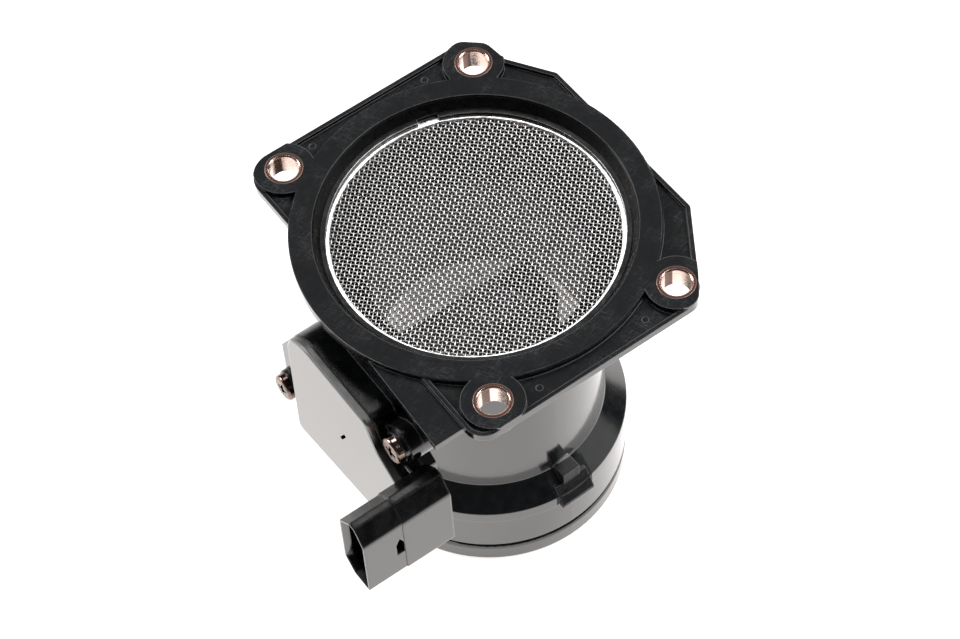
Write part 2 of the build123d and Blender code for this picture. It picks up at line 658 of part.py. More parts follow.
def case_seal():
    """Moulded ring in the plate's groove, pressed flat against the seat."""
    ring = neck_outline(SEAL_MARGIN + SEAL_SECTION) - neck_outline(SEAL_MARGIN)
    return outward(ring, SEAT_OUT, SEAT_OUT + SEAL_GROOVE_DEPTH)


def base_plate():
    """Aluminium plate on the case floor, pierced for the pins."""
    body = outward(box_outline(BOX_WALL + BOARD_MARGIN), CAVITY_OUT, BOARD_OUT)
    for x, z in pin_places() + thermistor_places():
        body -= outward_rod(x, z, 1.6 * PIN_RADIUS, CAVITY_OUT - CUT, BOARD_OUT + CUT)
    return body


def circuit_board():
    """Ceramic circuit on the base plate."""
    return outward(box_outline(BOX_WALL + 2 * BOARD_MARGIN), BOARD_OUT, BOARD_FRONT)


def control_chip():
    """Moulded chip on the board."""
    face = Pos(CHIP_X, CHIP_Z) * RectangleRounded(CHIP_LENGTH, CHIP_WIDTH, 0.4)
    return outward(face, BOARD_FRONT, BOARD_FRONT + CHIP_HEIGHT)


def terminal(index):
    """Bent blade: straight out in the socket, then across to the board."""
    z = SHROUD_MIDDLE_Z + (index - (TERMINAL_COUNT - 1) / 2) * TERMINAL_PITCH
    x = SHROUD_MIDDLE_X
    half = TERMINAL_WIDTH / 2
    blade = outward(Pos(x, z) * Rectangle(TERMINAL_WIDTH, TERMINAL_THICKNESS), BOARD_FRONT, TERMINAL_END_OUT)
    middle = (TERMINAL_INNER_X + x + half) / 2
    foot = Pos(middle, z) * Rectangle(x + half - TERMINAL_INNER_X, TERMINAL_THICKNESS)
    return blade + outward(foot, BOARD_FRONT, BOARD_FRONT + TERMINAL_THICKNESS)


# Bypass duct and sensing elements

def pin_places():
    """Centres (x, z) of the four support pins."""
    return [(x, z) for z in PIN_Z for x in PIN_X]


def thermistor_places():
    """Centres (x, z) of the thermistor's two legs."""
    return [(DUCT_MIDDLE_X + side * THERMISTOR_LEG_PITCH / 2, THERMISTOR_Z) for side in (-1, 1)]


def channel_outline():
    """Shape of the duct's channel in y and z: down from the inlet, back along the foot and out."""
    tip, top, low = DUCT_TIP - DUCT_WALL, DUCT_TOP + CUT, DUCT_BOTTOM + DUCT_WALL
    inlet = Pos(tip - INLET_WIDTH / 2, (top + low) / 2) * Rectangle(INLET_WIDTH, top - low)
    length = tip + OUTLET_OUT
    foot = Pos(tip - length / 2, low + RETURN_HEIGHT / 2) * Rectangle(length, RETURN_HEIGHT)
    outlet_high = low + RETURN_HEIGHT / 2
    outlet = Pos(-OUTLET_OUT + OUTLET_WIDTH / 2, (DUCT_BOTTOM - CUT + outlet_high) / 2)
    return inlet + foot + outlet * Rectangle(OUTLET_WIDTH, outlet_high - DUCT_BOTTOM + CUT)


def duct_side(far_end):
    """Side view of the duct's arm in y and z, from its rounded tip to a distance out from the axis."""
    length = far_end + DUCT_TIP
    arm = Pos(DUCT_TIP - length / 2, DUCT_MIDDLE_Z) * Rectangle(length, DUCT_TOP - DUCT_BOTTOM)
    tip = arm.vertices().group_by(Axis.X)[-1]
    return fillet(tip, DUCT_CORNER_RADIUS)


def bypass_duct():
    """Moulded duct with its collar in the seat's neck and a channel open to one side."""
    side = DUCT_RIGHT - DUCT_COVER_THICKNESS
    body = extrude(Plane.YZ.offset(DUCT_LEFT) * duct_side(COLLAR_END_OUT), side - DUCT_LEFT)
    body += outward(neck_outline(0), COLLAR_END_OUT, SEAT_OUT)
    body -= extrude(Plane.YZ.offset(DUCT_LEFT + DUCT_WALL) * channel_outline(), side - DUCT_LEFT)
    for x, z in pin_places():
        body -= outward_rod(x, z, PIN_RADIUS, -DUCT_TIP / 2, SEAT_OUT + CUT)
    for x, z in thermistor_places():
        body -= outward_rod(x, z, THERMISTOR_LEG_RADIUS, 0, SEAT_OUT + CUT)
    return body


def bypass_cover():
    """Plate that closes the channel's open side; it covers the arm up to the collar."""
    side = DUCT_RIGHT - DUCT_COVER_THICKNESS
    return extrude(Plane.YZ.offset(side) * duct_side(COLLAR_END_OUT), DUCT_COVER_THICKNESS)


def support_pin(x, z, reach):
    """Straight post from the back of the board to its tip in the channel."""
    return outward_rod(x, z, PIN_RADIUS, -reach, BOARD_OUT)


def sensing_element(z, reach):
    """Wound element with two thin leads that lie across the tips of a pair of pins."""
    at = reach + ELEMENT_LEAD_RADIUS
    middle = sum(PIN_X) / 2
    lead = Plane.YZ.offset(PIN_X[0] - PIN_RADIUS / 2) * (Pos(at, z) * Circle(ELEMENT_LEAD_RADIUS))
    span = PIN_X[1] - PIN_X[0]
    body_length = span - 2 * ELEMENT_END_GAP
    core = Plane.YZ.offset(middle - body_length / 2) * (Pos(at, z) * Circle(ELEMENT_RADIUS))
    return extrude(lead, span + PIN_RADIUS) + extrude(core, body_length)


def air_thermistor():
    """Temperature bead on two legs, below the duct in the open bore."""
    body = Pos(DUCT_MIDDLE_X, -THERMISTOR_REACH_OUT, THERMISTOR_Z) * Sphere(THERMISTOR_RADIUS)
    for x, z in thermistor_places():
        body += outward_rod(x, z, THERMISTOR_LEG_RADIUS, THERMISTOR_REACH_OUT, BOARD_OUT)
    return body


def build():
    """Every node of the sensor, by name."""
    terminals = [terminal(i) for i in range(TERMINAL_COUNT)]
    nodes = {"housing": housing()}
    for name, (x, y) in BOLTS.items():
        nodes["bushing_" + name] = bushing(x, y)
    nodes["screen_ring"] = screen_ring()
    nodes["screen_mesh"] = screen_mesh()
    nodes["retaining_ring"] = retaining_ring()
    nodes["sensor_case"] = sensor_case(terminals)
    nodes["sensor_cover"] = sensor_cover()
    nodes["case_screw_upper"] = case_screw(*UPPER_SCREW)
    nodes["case_screw_lower"] = case_screw(*LOWER_SCREW)
    nodes["case_seal"] = case_seal()
    nodes["bypass_duct"] = bypass_duct()
    nodes["bypass_cover"] = bypass_cover()
    nodes["base_plate"] = base_plate()
    nodes["circuit_board"] = circuit_board()
    nodes["control_chip"] = control_chip()
    for index, blade in enumerate(terminals, 1):
        nodes[f"terminal_{index}"] = blade
    reach = dict(zip(PIN_Z, PIN_REACH))
    for index, (x, z) in enumerate(pin_places(), 1):
        nodes[f"support_pin_{index}"] = support_pin(x, z, reach[z])
    nodes["cold_element"] = sensing_element(PIN_Z[0], PIN_REACH[0])
    nodes["hot_element"] = sensing_element(PIN_Z[1], PIN_REACH[1])
    nodes["air_thermistor"] = air_thermistor()
    return nodes


if __name__ == "__main__":
    os.makedirs("parts", exist_ok=True)
    for name, shape in build().items():
        export_step(shape, f"parts/{name}.step")
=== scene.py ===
"""A mass airflow sensor on a white table: finishes, woven inlet screen, light and camera.

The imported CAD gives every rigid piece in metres, +Z up, with the module on the -Y side.
"""

import json
import logging
import math
from collections.abc import Iterable
from dataclasses import dataclass
from enum import Enum

import bpy
import numpy as np
from mathutils import Matrix, Vector

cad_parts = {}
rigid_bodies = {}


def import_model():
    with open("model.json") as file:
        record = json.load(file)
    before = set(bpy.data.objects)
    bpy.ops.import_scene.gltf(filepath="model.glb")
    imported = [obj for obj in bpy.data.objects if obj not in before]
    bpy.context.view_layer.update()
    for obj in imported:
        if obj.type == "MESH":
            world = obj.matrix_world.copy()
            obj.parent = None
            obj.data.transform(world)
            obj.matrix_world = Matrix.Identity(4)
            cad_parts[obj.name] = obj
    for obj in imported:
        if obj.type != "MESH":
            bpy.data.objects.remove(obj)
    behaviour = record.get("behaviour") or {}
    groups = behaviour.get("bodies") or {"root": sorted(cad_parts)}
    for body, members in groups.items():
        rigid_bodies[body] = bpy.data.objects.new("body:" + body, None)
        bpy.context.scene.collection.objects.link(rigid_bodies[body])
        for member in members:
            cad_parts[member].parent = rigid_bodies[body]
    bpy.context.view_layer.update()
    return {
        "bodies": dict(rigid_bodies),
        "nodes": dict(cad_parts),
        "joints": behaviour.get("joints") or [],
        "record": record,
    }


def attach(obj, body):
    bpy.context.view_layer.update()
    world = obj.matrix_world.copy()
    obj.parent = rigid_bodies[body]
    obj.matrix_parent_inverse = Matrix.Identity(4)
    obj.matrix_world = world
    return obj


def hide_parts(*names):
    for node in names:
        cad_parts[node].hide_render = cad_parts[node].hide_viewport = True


LOG = logging.getLogger("airflow_sensor")
Colour = tuple[float, float, float]
NodeTree = bpy.types.NodeTree
Socket = bpy.types.NodeSocket
BODY = "root"
BLACK: Colour = (0.0, 0.0, 0.0)
WHITE: Colour = (1.0, 1.0, 1.0)
# Painted shade for the vent slot's hole.
SLOT_PAINTED_SHADE: Colour = (0.0005, 0.0005, 0.0005)
# Near black painted on the housing's inner walls as painted shade.
THROAT_PAINTED_SHADE: Colour = (0.0008, 0.0009, 0.001)
DUST_GREY: Colour = (0.35, 0.36, 0.37)
HEXAGON_CAP = ((3, 2, 1, 0), (5, 4, 3, 0))


class Effect(Enum):
    """The shader groups that several finishes share."""

    MOULDED_SKIN = "moulded_skin"
    # Lightens edges: partly rubbing, partly painted highlight.
    EDGE_WEAR_AND_HIGHLIGHT = "edge_wear_and_highlight"
    SETTLED_DUST = "settled_dust"
    TURNED_LINES = "turned_lines"
    POLISHED_WALL = "polished_wall"


class Family(Enum):
    """The two families of wires in the woven screen."""

    WARP = "screen_warp_wires"
    WEFT = "screen_weft_wires"


# Shader nodes


def place(tree: NodeTree, kind: str, **settings: object) -> bpy.types.Node:
    """Adds one node to a tree.

    Args:
        tree: the material's or group's node tree.
        kind: the node's type name without its ShaderNode prefix.
        settings: properties of the node, by name.

    Returns:
        The new node.
    """
    node = tree.nodes.new("ShaderNode" + kind)
    for name, value in settings.items():
        setattr(node, name, value)
    return node


def connect(tree: NodeTree, source: Socket, node: bpy.types.Node, name: str | int) -> None:
    """Links a source socket to an input of a node.

    Args:
        tree: the tree that holds both.
        source: the socket the value comes from.
        node: the node that takes it.
        name: the input's name or number.
    """
    tree.links.new(source, node.inputs[name])


def scalar(
    tree: NodeTree, operation: str, a: Socket | float, b: Socket | float = 0.0, clamp: bool = False
) -> Socket:
    """Works out one number from one or two with a Math node.

    Args:
        tree: the tree that takes the node.
        operation: the Math node's operation.
        a: first value or socket.
        b: second value or socket, where the operation has one.
        clamp: whether the answer is kept within 0 and 1.

    Returns:
        The socket with the answer.
    """
    node = place(tree, "Math", operation=operation, use_clamp=clamp)
    for index, value in enumerate((a, b)):
        if isinstance(value, (int, float)):
            node.inputs[index].default_value = value
        else:
            connect(tree, value, node, index)
    return node.outputs[0]


def spread(
    tree: NodeTree, value: Socket, low: float, high: float, to_low: float = 0.0, to_high: float = 1.0
) -> Socket:
    """Maps a value from low..high to to_low..to_high, held within the ends.

    Args:
        tree: the tree that takes the node.
        value: the value's socket.
        low: value that gives to_low.
        high: value that gives to_high.
        to_low: answer at low.
        to_high: answer at high.

    Returns:
        The socket with the mapped value.
    """
    node = place(tree, "MapRange", clamp=True)
    connect(tree, value, node, 0)
    for index, number in enumerate((low, high, to_low, to_high), start=1):
        node.inputs[index].default_value = number
    return node.outputs[0]


def blend(tree: NodeTree, mask: Socket, first: Socket | Colour, second: Socket | Colour) -> Socket:
    """Mixes two colours by a mask.

    Args:
        tree: the tree that takes the node.
        mask: 0 shows the first colour, 1 the second.
        first: a colour or a colour socket.
        second: a colour or a colour socket.

    Returns:
        The mixed colour's socket.
    """
    node = place(tree, "Mix", data_type="RGBA")
    connect(tree, mask, node, 0)
    for index, value in ((6, first), (7, second)):
        if isinstance(value, tuple):
            node.inputs[index].default_value = (*value, 1.0)
        else:
            connect(tree, value, node, index)
    return node.outputs[2]


def noise(
    tree: NodeTree, vector: Socket, scale: Socket | float, detail: float, roughness: float = 0.5
) -> Socket:
    """Gives a noise value at a point.

    Args:
        tree: the tree that takes the node.
        vector: the point's socket.
        scale: cycles per metre, as a number or a socket.
        detail: octaves of finer noise.
        roughness: strength of the finer octaves.

    Returns:
        The noise's value socket.
    """
    node = place(tree, "TexNoise")
    connect(tree, vector, node, "Vector")
    if isinstance(scale, (int, float)):
        node.inputs["Scale"].default_value = scale
    else:
        connect(tree, scale, node, "Scale")
    node.inputs["Detail"].default_value = detail
    node.inputs["Roughness"].default_value = roughness
    return node.outputs[0]


def object_point(tree: NodeTree) -> Socket:
    """Gives the point in object coordinates.

    Args:
        tree: the tree that takes the node.

    Returns:
        The point's socket.
    """
    return place(tree, "TexCoord").outputs["Object"]


def face_normal(tree: NodeTree) -> Socket:
    """Gives the surface's own normal, before any bump.

    Args:
        tree: the tree that takes the node.

    Returns:
        The normal's socket.
    """
    return place(tree, "NewGeometry").outputs["Normal"]


def split_axes(tree: NodeTree, vector: Socket) -> tuple[Socket, Socket, Socket]:
    """Splits a vector into its three parts.

    Args:
        tree: the tree that takes the node.
        vector: the vector's socket.

    Returns:
        The sockets of X, Y and Z.
    """
    node = place(tree, "SeparateXYZ")
    connect(tree, vector, node, 0)
    return node.outputs["X"], node.outputs["Y"], node.outputs["Z"]


def within(tree: NodeTree, value: Socket, middle: float, half: float) -> Socket:
    """Tells whether a value lies close to a middle.

    Args:
        tree: the tree that takes the nodes.
        value: the value's socket.
        middle: the middle of the band.
        half: half the width of the band.

    Returns:
        A socket that is 1 inside the band and 0 outside it.
    """
    gap = scalar(tree, "ABSOLUTE", scalar(tree, "SUBTRACT", value, middle))
    return scalar(tree, "LESS_THAN", gap, half)


def add_bump(
    tree: NodeTree, shader: bpy.types.Node, height: Socket, distance: float, normal: Socket | None = None
) -> None:
    """Gives a shader a bumped normal.

    Args:
        tree: the material's tree.
        shader: its Principled node.
        height: the height's socket.
        distance: what a height of 1 stands for, in metres.
        normal: the normal that the bump starts from, if not the surface's own.
    """
    bump = place(tree, "Bump")
    bump.inputs["Distance"].default_value = distance
    connect(tree, height, bump, "Height")
    if normal:
        connect(tree, normal, bump, "Normal")
    connect(tree, bump.outputs[0], shader, "Normal")


def start_group(
    effect: Effect, inputs: dict[str, float], outputs: Iterable[str]
) -> tuple[NodeTree, bpy.types.Node, bpy.types.Node]:
    """Starts a shader group with named number inputs and outputs.

    Args:
        effect: the group's name.
        inputs: each input's name and default value.
        outputs: each output's name; one called Normal is a vector.

    Returns:
        The group's tree, its input node and its output node.
    """
    tree = bpy.data.node_groups.new(effect.value, "ShaderNodeTree")
    for name, value in inputs.items():
        socket = tree.interface.new_socket(name, in_out="INPUT", socket_type="NodeSocketFloat")
        socket.default_value = value
    for name in outputs:
        kind = "NodeSocketVector" if name == "Normal" else "NodeSocketFloat"
        tree.interface.new_socket(name, in_out="OUTPUT", socket_type=kind)
    return tree, tree.nodes.new("NodeGroupInput"), tree.nodes.new("NodeGroupOutput")


def build_moulded_skin() -> None:
    """Builds the skin of a moulded plastic piece.

    Tone is a slow cloud that stands for flow marks. Sheen is a finer cloud for the roughness.
    Height is a fine grain plus a slow sink that bends the reflections a little. Scuff marks
    thin short scratches: two noises, each squeezed along a line of its own in the X-Y plane.
    """
    scratch_turns, scratch_squeeze, scratch_scale = (0.5, 1.9), (1.0, 0.05, 1.0), 420.0
    sink_scale = 38.0
    inputs = {"Cloud Scale": 60.0, "Grain Scale": 2400.0, "Grain": 0.2}
    outputs = ("Tone", "Sheen", "Height", "Scuff")
    tree, inward, outward = start_group(Effect.MOULDED_SKIN, inputs, outputs)
    point = object_point(tree)
    cloud = noise(tree, point, inward.outputs["Cloud Scale"], 3.0, 0.6)
    sheen = noise(tree, point, scalar(tree, "MULTIPLY", inward.outputs["Cloud Scale"], 4.0), 4.0, 0.65)
    grain = noise(tree, point, inward.outputs["Grain Scale"], 2.0)
    sink = noise(tree, point, sink_scale, 1.0)
    fine = scalar(tree, "MULTIPLY", grain, inward.outputs["Grain"])
    connect(tree, spread(tree, cloud, 0.3, 0.75), outward, "Tone")
    connect(tree, spread(tree, sheen, 0.38, 0.62), outward, "Sheen")
    connect(tree, scalar(tree, "ADD", fine, sink), outward, "Height")
    scratches = []
    for turn in scratch_turns:
        squeeze = place(tree, "Mapping", vector_type="TEXTURE")
        squeeze.inputs["Rotation"].default_value = (0.0, 0.0, turn)
        squeeze.inputs["Scale"].default_value = scratch_squeeze
        connect(tree, point, squeeze, "Vector")
        streak = noise(tree, squeeze.outputs[0], scratch_scale, 3.0, 0.6)
        scratches.append(spread(tree, streak, 0.56, 0.68))
    gathered = spread(tree, cloud, 0.45, 0.65, 0.1, 1.0)
    patchy = scalar(tree, "MULTIPLY", scalar(tree, "MAXIMUM", *scratches), gathered)
    connect(tree, patchy, outward, "Scuff")


def build_edge_wear_and_highlight() -> None:
    """Builds the rounding of edges, and a mask for their rubbing and painted highlight.

    Normal is the shading normal eased over Radius. Edge is one minus the dot product of
    that eased normal and the true one, times Gain, broken up by a fine noise. Finishes lay a
    light colour on Edge that stands partly for rubbing and partly for painted highlight.
    """
    inputs = {"Radius": 0.0003, "Gain": 9.0}
    tree, inward, outward = start_group(Effect.EDGE_WEAR_AND_HIGHLIGHT, inputs, ("Edge", "Normal"))
    eased = place(tree, "Bevel", samples=6)
    connect(tree, inward.outputs["Radius"], eased, "Radius")
    dot = place(tree, "VectorMath", operation="DOT_PRODUCT")
    connect(tree, eased.outputs[0], dot, 0)
    connect(tree, face_normal(tree), dot, 1)
    turn = scalar(tree, "SUBTRACT", 1.0, dot.outputs["Value"], True)
    rub = spread(tree, noise(tree, object_point(tree), 350.0, 3.0), 0.35, 0.6, 0.7, 1.0)
    # Edge mask for a light colour that is partly rubbing and partly painted highlight.
    worn_and_highlit = scalar(tree, "MULTIPLY", scalar(tree, "MULTIPLY", turn, inward.outputs["Gain"]), rub, True)
    connect(tree, worn_and_highlit, outward, "Edge")
    connect(tree, eased.outputs[0], outward, "Normal")


def build_settled_dust() -> None:
    """Builds the fine dust and lint that lie on upward faces.

    Dust is the upward part of the normal times a speckle from a cell texture, thinned by
    a slow noise so that it gathers in places. Amount is the share of it that shows.
    """
    inputs = {"Amount": 0.3, "Speck Scale": 1500.0}
    tree, inward, outward = start_group(Effect.SETTLED_DUST, inputs, ("Dust",))
    point = object_point(tree)
    cells = place(tree, "TexVoronoi")
    connect(tree, point, cells, "Vector")
    connect(tree, inward.outputs["Speck Scale"], cells, "Scale")
    speck = spread(tree, cells.outputs["Distance"], 0.06, 0.16, 1.0, 0.0)
    patch = spread(tree, noise(tree, point, 110.0, 2.0), 0.5, 0.72)
    upward = spread(tree, split_axes(tree, face_normal(tree))[2], 0.5, 0.9)
    lying = scalar(tree, "MULTIPLY", scalar(tree, "MULTIPLY", speck, patch), upward)
    connect(tree, scalar(tree, "MULTIPLY", lying, inward.outputs["Amount"], True), outward, "Dust")


def build_turned_lines() -> None:
    """Builds the tool marks of turned and rolled metal.

    Line is a noise on points squeezed across Z, so that it draws thin level rings.
    Stain is a slow noise, for tarnish.
    """
    inputs = {"Line Scale": 9000.0, "Stain Scale": 250.0}
    tree, inward, outward = start_group(Effect.TURNED_LINES, inputs, ("Line", "Stain"))
    point = object_point(tree)
    squeeze = place(tree, "Mapping", vector_type="POINT")
    squeeze.inputs["Scale"].default_value = (0.06, 0.06, 1.0)
    connect(tree, point, squeeze, "Vector")
    line = noise(tree, squeeze.outputs[0], inward.outputs["Line Scale"], 2.0)
    stain = noise(tree, point, inward.outputs["Stain Scale"], 3.0, 0.6)
    connect(tree, spread(tree, line, 0.35, 0.65), outward, "Line")
    connect(tree, spread(tree, stain, 0.4, 0.65), outward, "Stain")


def build_polished_wall() -> None:
    """Builds the mask that tells polished walls from satin faces.

    Faces that look away from the flow axis are polished below Satin From, and above it where
    they stand upright, so the flange's rim shines and its top doesn't. Faces that look towards
    the axis are polished only below Bore From. The locating lug, past Lug From on the +X side,
    keeps a fifth of the polish. Throat is 1 on the faces that look towards the axis above
    Bore From, which the plastic paints darker as painted shade and makes smoother than the
    flange's top.
    """
    facing_slack = -0.002
    lug_y, lug_half_y, lug_z, lug_half_z, lug_dulling = 0.0012, 0.0056, 0.0238, 0.0047, 0.8
    inputs = {"Satin From": 0.084, "Bore From": 0.045, "Lug From": 1.0}
    tree, inward, outward = start_group(Effect.POLISHED_WALL, inputs, ("Polish", "Throat"))
    x, y, z = split_axes(tree, object_point(tree))
    lean_x, lean_y, lean_z = split_axes(tree, face_normal(tree))
    across = scalar(tree, "MULTIPLY", x, lean_x)
    along = scalar(tree, "MULTIPLY", y, lean_y)
    away = scalar(tree, "GREATER_THAN", scalar(tree, "ADD", across, along), facing_slack)
    upright = spread(tree, scalar(tree, "ABSOLUTE", lean_z), 0.35, 0.6, 1.0, 0.0)
    low = scalar(tree, "LESS_THAN", z, inward.outputs["Satin From"])
    deep = scalar(tree, "LESS_THAN", z, inward.outputs["Bore From"])
    outer = scalar(tree, "MULTIPLY", away, scalar(tree, "MAXIMUM", low, upright))
    near = within(tree, y, lug_y, lug_half_y)
    far = scalar(tree, "GREATER_THAN", x, inward.outputs["Lug From"])
    band = within(tree, z, lug_z, lug_half_z)
    lug = scalar(tree, "MULTIPLY", scalar(tree, "MULTIPLY", near, far), band)
    dulled = scalar(tree, "MULTIPLY", lug, lug_dulling)
    shine = scalar(tree, "SUBTRACT", scalar(tree, "MAXIMUM", outer, deep), dulled, True)
    connect(tree, shine, outward, "Polish")
    # Throat mask: the plastic paints these faces dark as painted shade.
    painted_dark = scalar(tree, "SUBTRACT", scalar(tree, "SUBTRACT", 1.0, away), deep, True)
    connect(tree, painted_dark, outward, "Throat")


def slot_mask(tree: NodeTree, middle: tuple[float, float]) -> Socket:
    """Marks the small slanting vent slot on an upright side, where its shade is painted black.

    The slot is 0.84 by 4.2 mm and leans by 0.535 radians.

    Args:
        tree: the material's tree.
        middle: X and Z of the slot's middle, in metres.

    Returns:
        A socket that is 1 inside the slot.
    """
    lean, half_width, half_height = 0.535, 0.00042, 0.0021
    frame = place(tree, "Mapping", vector_type="TEXTURE")
    frame.inputs["Location"].default_value = (middle[0], 0.0, middle[1])
    frame.inputs["Rotation"].default_value = (0.0, lean, 0.0)
    frame.inputs["Scale"].default_value = (half_width, 1.0, half_height)
    connect(tree, object_point(tree), frame, "Vector")
    x, _, z = split_axes(tree, frame.outputs[0])
    return scalar(tree, "MULTIPLY", within(tree, x, 0.0, 1.0), within(tree, z, 0.0, 1.0))


def use_effect(tree: NodeTree, effect: Effect, **values: float) -> bpy.types.Node:
    """Places a shared group in a material.

    Args:
        tree: the material's tree.
        effect: which group.
        values: its inputs, with underscores for spaces.

    Returns:
        The group node.
    """
    node = place(tree, "Group", node_tree=bpy.data.node_groups[effect.value])
    for name, value in values.items():
        node.inputs[name.replace("_", " ")].default_value = value
    return node


def start_material(name: str) -> tuple[bpy.types.Material, NodeTree, bpy.types.Node]:
    """Starts a material.

    Args:
        name: the material's name.

    Returns:
        The material, its emptied tree and its Principled node, already joined to the output.
    """
    material = bpy.data.materials.new(name)
    material.use_nodes = True
    tree = material.node_tree
    tree.nodes.clear()
    shader = place(tree, "BsdfPrincipled")
    connect(tree, shader.outputs[0], place(tree, "OutputMaterial"), "Surface")
    return material, tree, shader


# Finishes


@dataclass(frozen=True)
class MouldedPlastic:
    """A moulded plastic with flow marks, scuffs, polished walls and a little dust, and soft edges
    lightened partly by rubbing and partly by painted highlight.

    Attributes:
        name: the material's name.
        colour, bloom: colour between and on the flow marks.
        edge: colour of scuffs and of edges, where it is partly rubbing and partly painted highlight.
        roughness, satin: range of roughness on polished walls and on other faces.
        satin_from: height from which level faces are satin.
        bore_from: height up to which faces towards the flow axis are polished.
        lug_from: X past which the locating lug stands.
        throat_painted_shade: how far the faces towards the axis are painted darker, as painted shade,
            and made smoother.
        vent: X and Z of the vent slot's middle, if there is one; the slot is painted black, as
            painted shade, and reflects nothing.
        tint: colour of the reflections.
        ior, polish_ior: index of refraction of the plastic and of its polished layer.
        polish, polish_roughness: weight and roughness of that layer.
        scuff, dust: how far scuffs and dust show.
        radius: radius of soft edges in metres.
        cloud, grain: flow marks per metre, and height of the grain beside the slow sink.
        bump: what a height of 1 stands for, in metres.
    """

    name: str
    colour: Colour
    bloom: Colour
    edge: Colour
    roughness: tuple[float, float] = (0.2, 0.32)
    satin: tuple[float, float] = (0.45, 0.6)
    satin_from: float = 1.0
    bore_from: float = 0.0
    lug_from: float = 1.0
    throat_painted_shade: float = 0.0
    vent: tuple[float, float] | None = None
    tint: Colour = (1.0, 0.97, 0.95)
    ior: float = 1.6
    polish: float = 0.0
    polish_ior: float = 2.0
    polish_roughness: float = 0.1
    scuff: float = 0.25
    radius: float = 0.0003
    cloud: float = 60.0
    grain: float = 0.25
    bump: float = 0.00008
    dust: float = 0.15

    def build(self) -> bpy.types.Material:
        """Builds the material.

        Returns:
            The material, with its colour turned by the flow marks, by rubbing and painted highlight on
            its edges, by painted shade on inner walls and in the vent slot, and by the dust, and a clear
            polished layer on its walls.
        """
        material, tree, shader = start_material(self.name)
        skin = use_effect(tree, Effect.MOULDED_SKIN, Cloud_Scale=self.cloud, Grain=self.grain).outputs
        wear_and_highlight = use_effect(tree, Effect.EDGE_WEAR_AND_HIGHLIGHT, Radius=self.radius).outputs
        dust = use_effect(tree, Effect.SETTLED_DUST, Amount=self.dust).outputs["Dust"]
        limits = {"Satin_From": self.satin_from, "Bore_From": self.bore_from, "Lug_From": self.lug_from}
        zones = use_effect(tree, Effect.POLISHED_WALL, **limits).outputs
        polished = zones["Polish"]
        unpolished = scalar(tree, "SUBTRACT", 1.0, polished)
        throat_painted_shade = scalar(tree, "MULTIPLY", zones["Throat"], self.throat_painted_shade)

        slow = scalar(tree, "MULTIPLY", skin["Tone"], 0.25)
        fleck = scalar(tree, "ADD", slow, scalar(tree, "MULTIPLY", skin["Sheen"], 0.75))
        # Faces towards the axis above Bore From are painted near black as painted shade.
        tone = blend(tree, throat_painted_shade, blend(tree, fleck, self.colour, self.bloom), THROAT_PAINTED_SHADE)
        open_face = scalar(tree, "SUBTRACT", unpolished, throat_painted_shade, True)
        marked = scalar(tree, "MULTIPLY", skin["Scuff"], open_face)
        scuffed = scalar(tree, "MULTIPLY", marked, self.scuff)
        # Edges take the edge colour partly as rubbing and partly as painted highlight; scuffs are real
        # marks.
        rubbed_and_highlit = scalar(tree, "MAXIMUM", scalar(tree, "MULTIPLY", wear_and_highlight["Edge"], 0.6), scuffed)
        colour = blend(tree, dust, blend(tree, rubbed_and_highlit, tone, self.edge), DUST_GREY)
        shader.inputs["Specular Tint"].default_value = (*self.tint, 1.0)
        # The vent slot is painted shade: black colour, and metal with a black tint so it reflects
        # nothing.
        if self.vent:
            slot = slot_mask(tree, self.vent)
            colour = blend(tree, slot, colour, SLOT_PAINTED_SHADE)
            polished = scalar(tree, "SUBTRACT", polished, slot, True)
            connect(tree, slot, shader, "Metallic")
            connect(tree, blend(tree, slot, self.tint, BLACK), shader, "Specular Tint")
        connect(tree, colour, shader, "Base Color")

        shiny = spread(tree, skin["Sheen"], 0.0, 1.0, *self.roughness)
        dull = spread(tree, skin["Sheen"], 0.0, 1.0, *self.satin)
        smoother = scalar(tree, "SUBTRACT", 1.0, scalar(tree, "MULTIPLY", throat_painted_shade, 0.5))
        dull = scalar(tree, "MULTIPLY", dull, smoother)
        shiny_part = scalar(tree, "MULTIPLY", shiny, polished)
        sheen = scalar(tree, "ADD", shiny_part, scalar(tree, "MULTIPLY", dull, unpolished))
        dusty = scalar(tree, "ADD", sheen, scalar(tree, "MULTIPLY", dust, 0.5), True)
        connect(tree, dusty, shader, "Roughness")
        add_bump(tree, shader, skin["Height"], self.bump, wear_and_highlight["Normal"])
        shader.inputs["IOR"].default_value = self.ior
        if self.polish:
            connect(tree, scalar(tree, "MULTIPLY", polished, self.polish), shader, "Coat Weight")
            shader.inputs["Coat Roughness"].default_value = self.polish_roughness
            shader.inputs["Coat IOR"].default_value = self.polish_ior
        return material


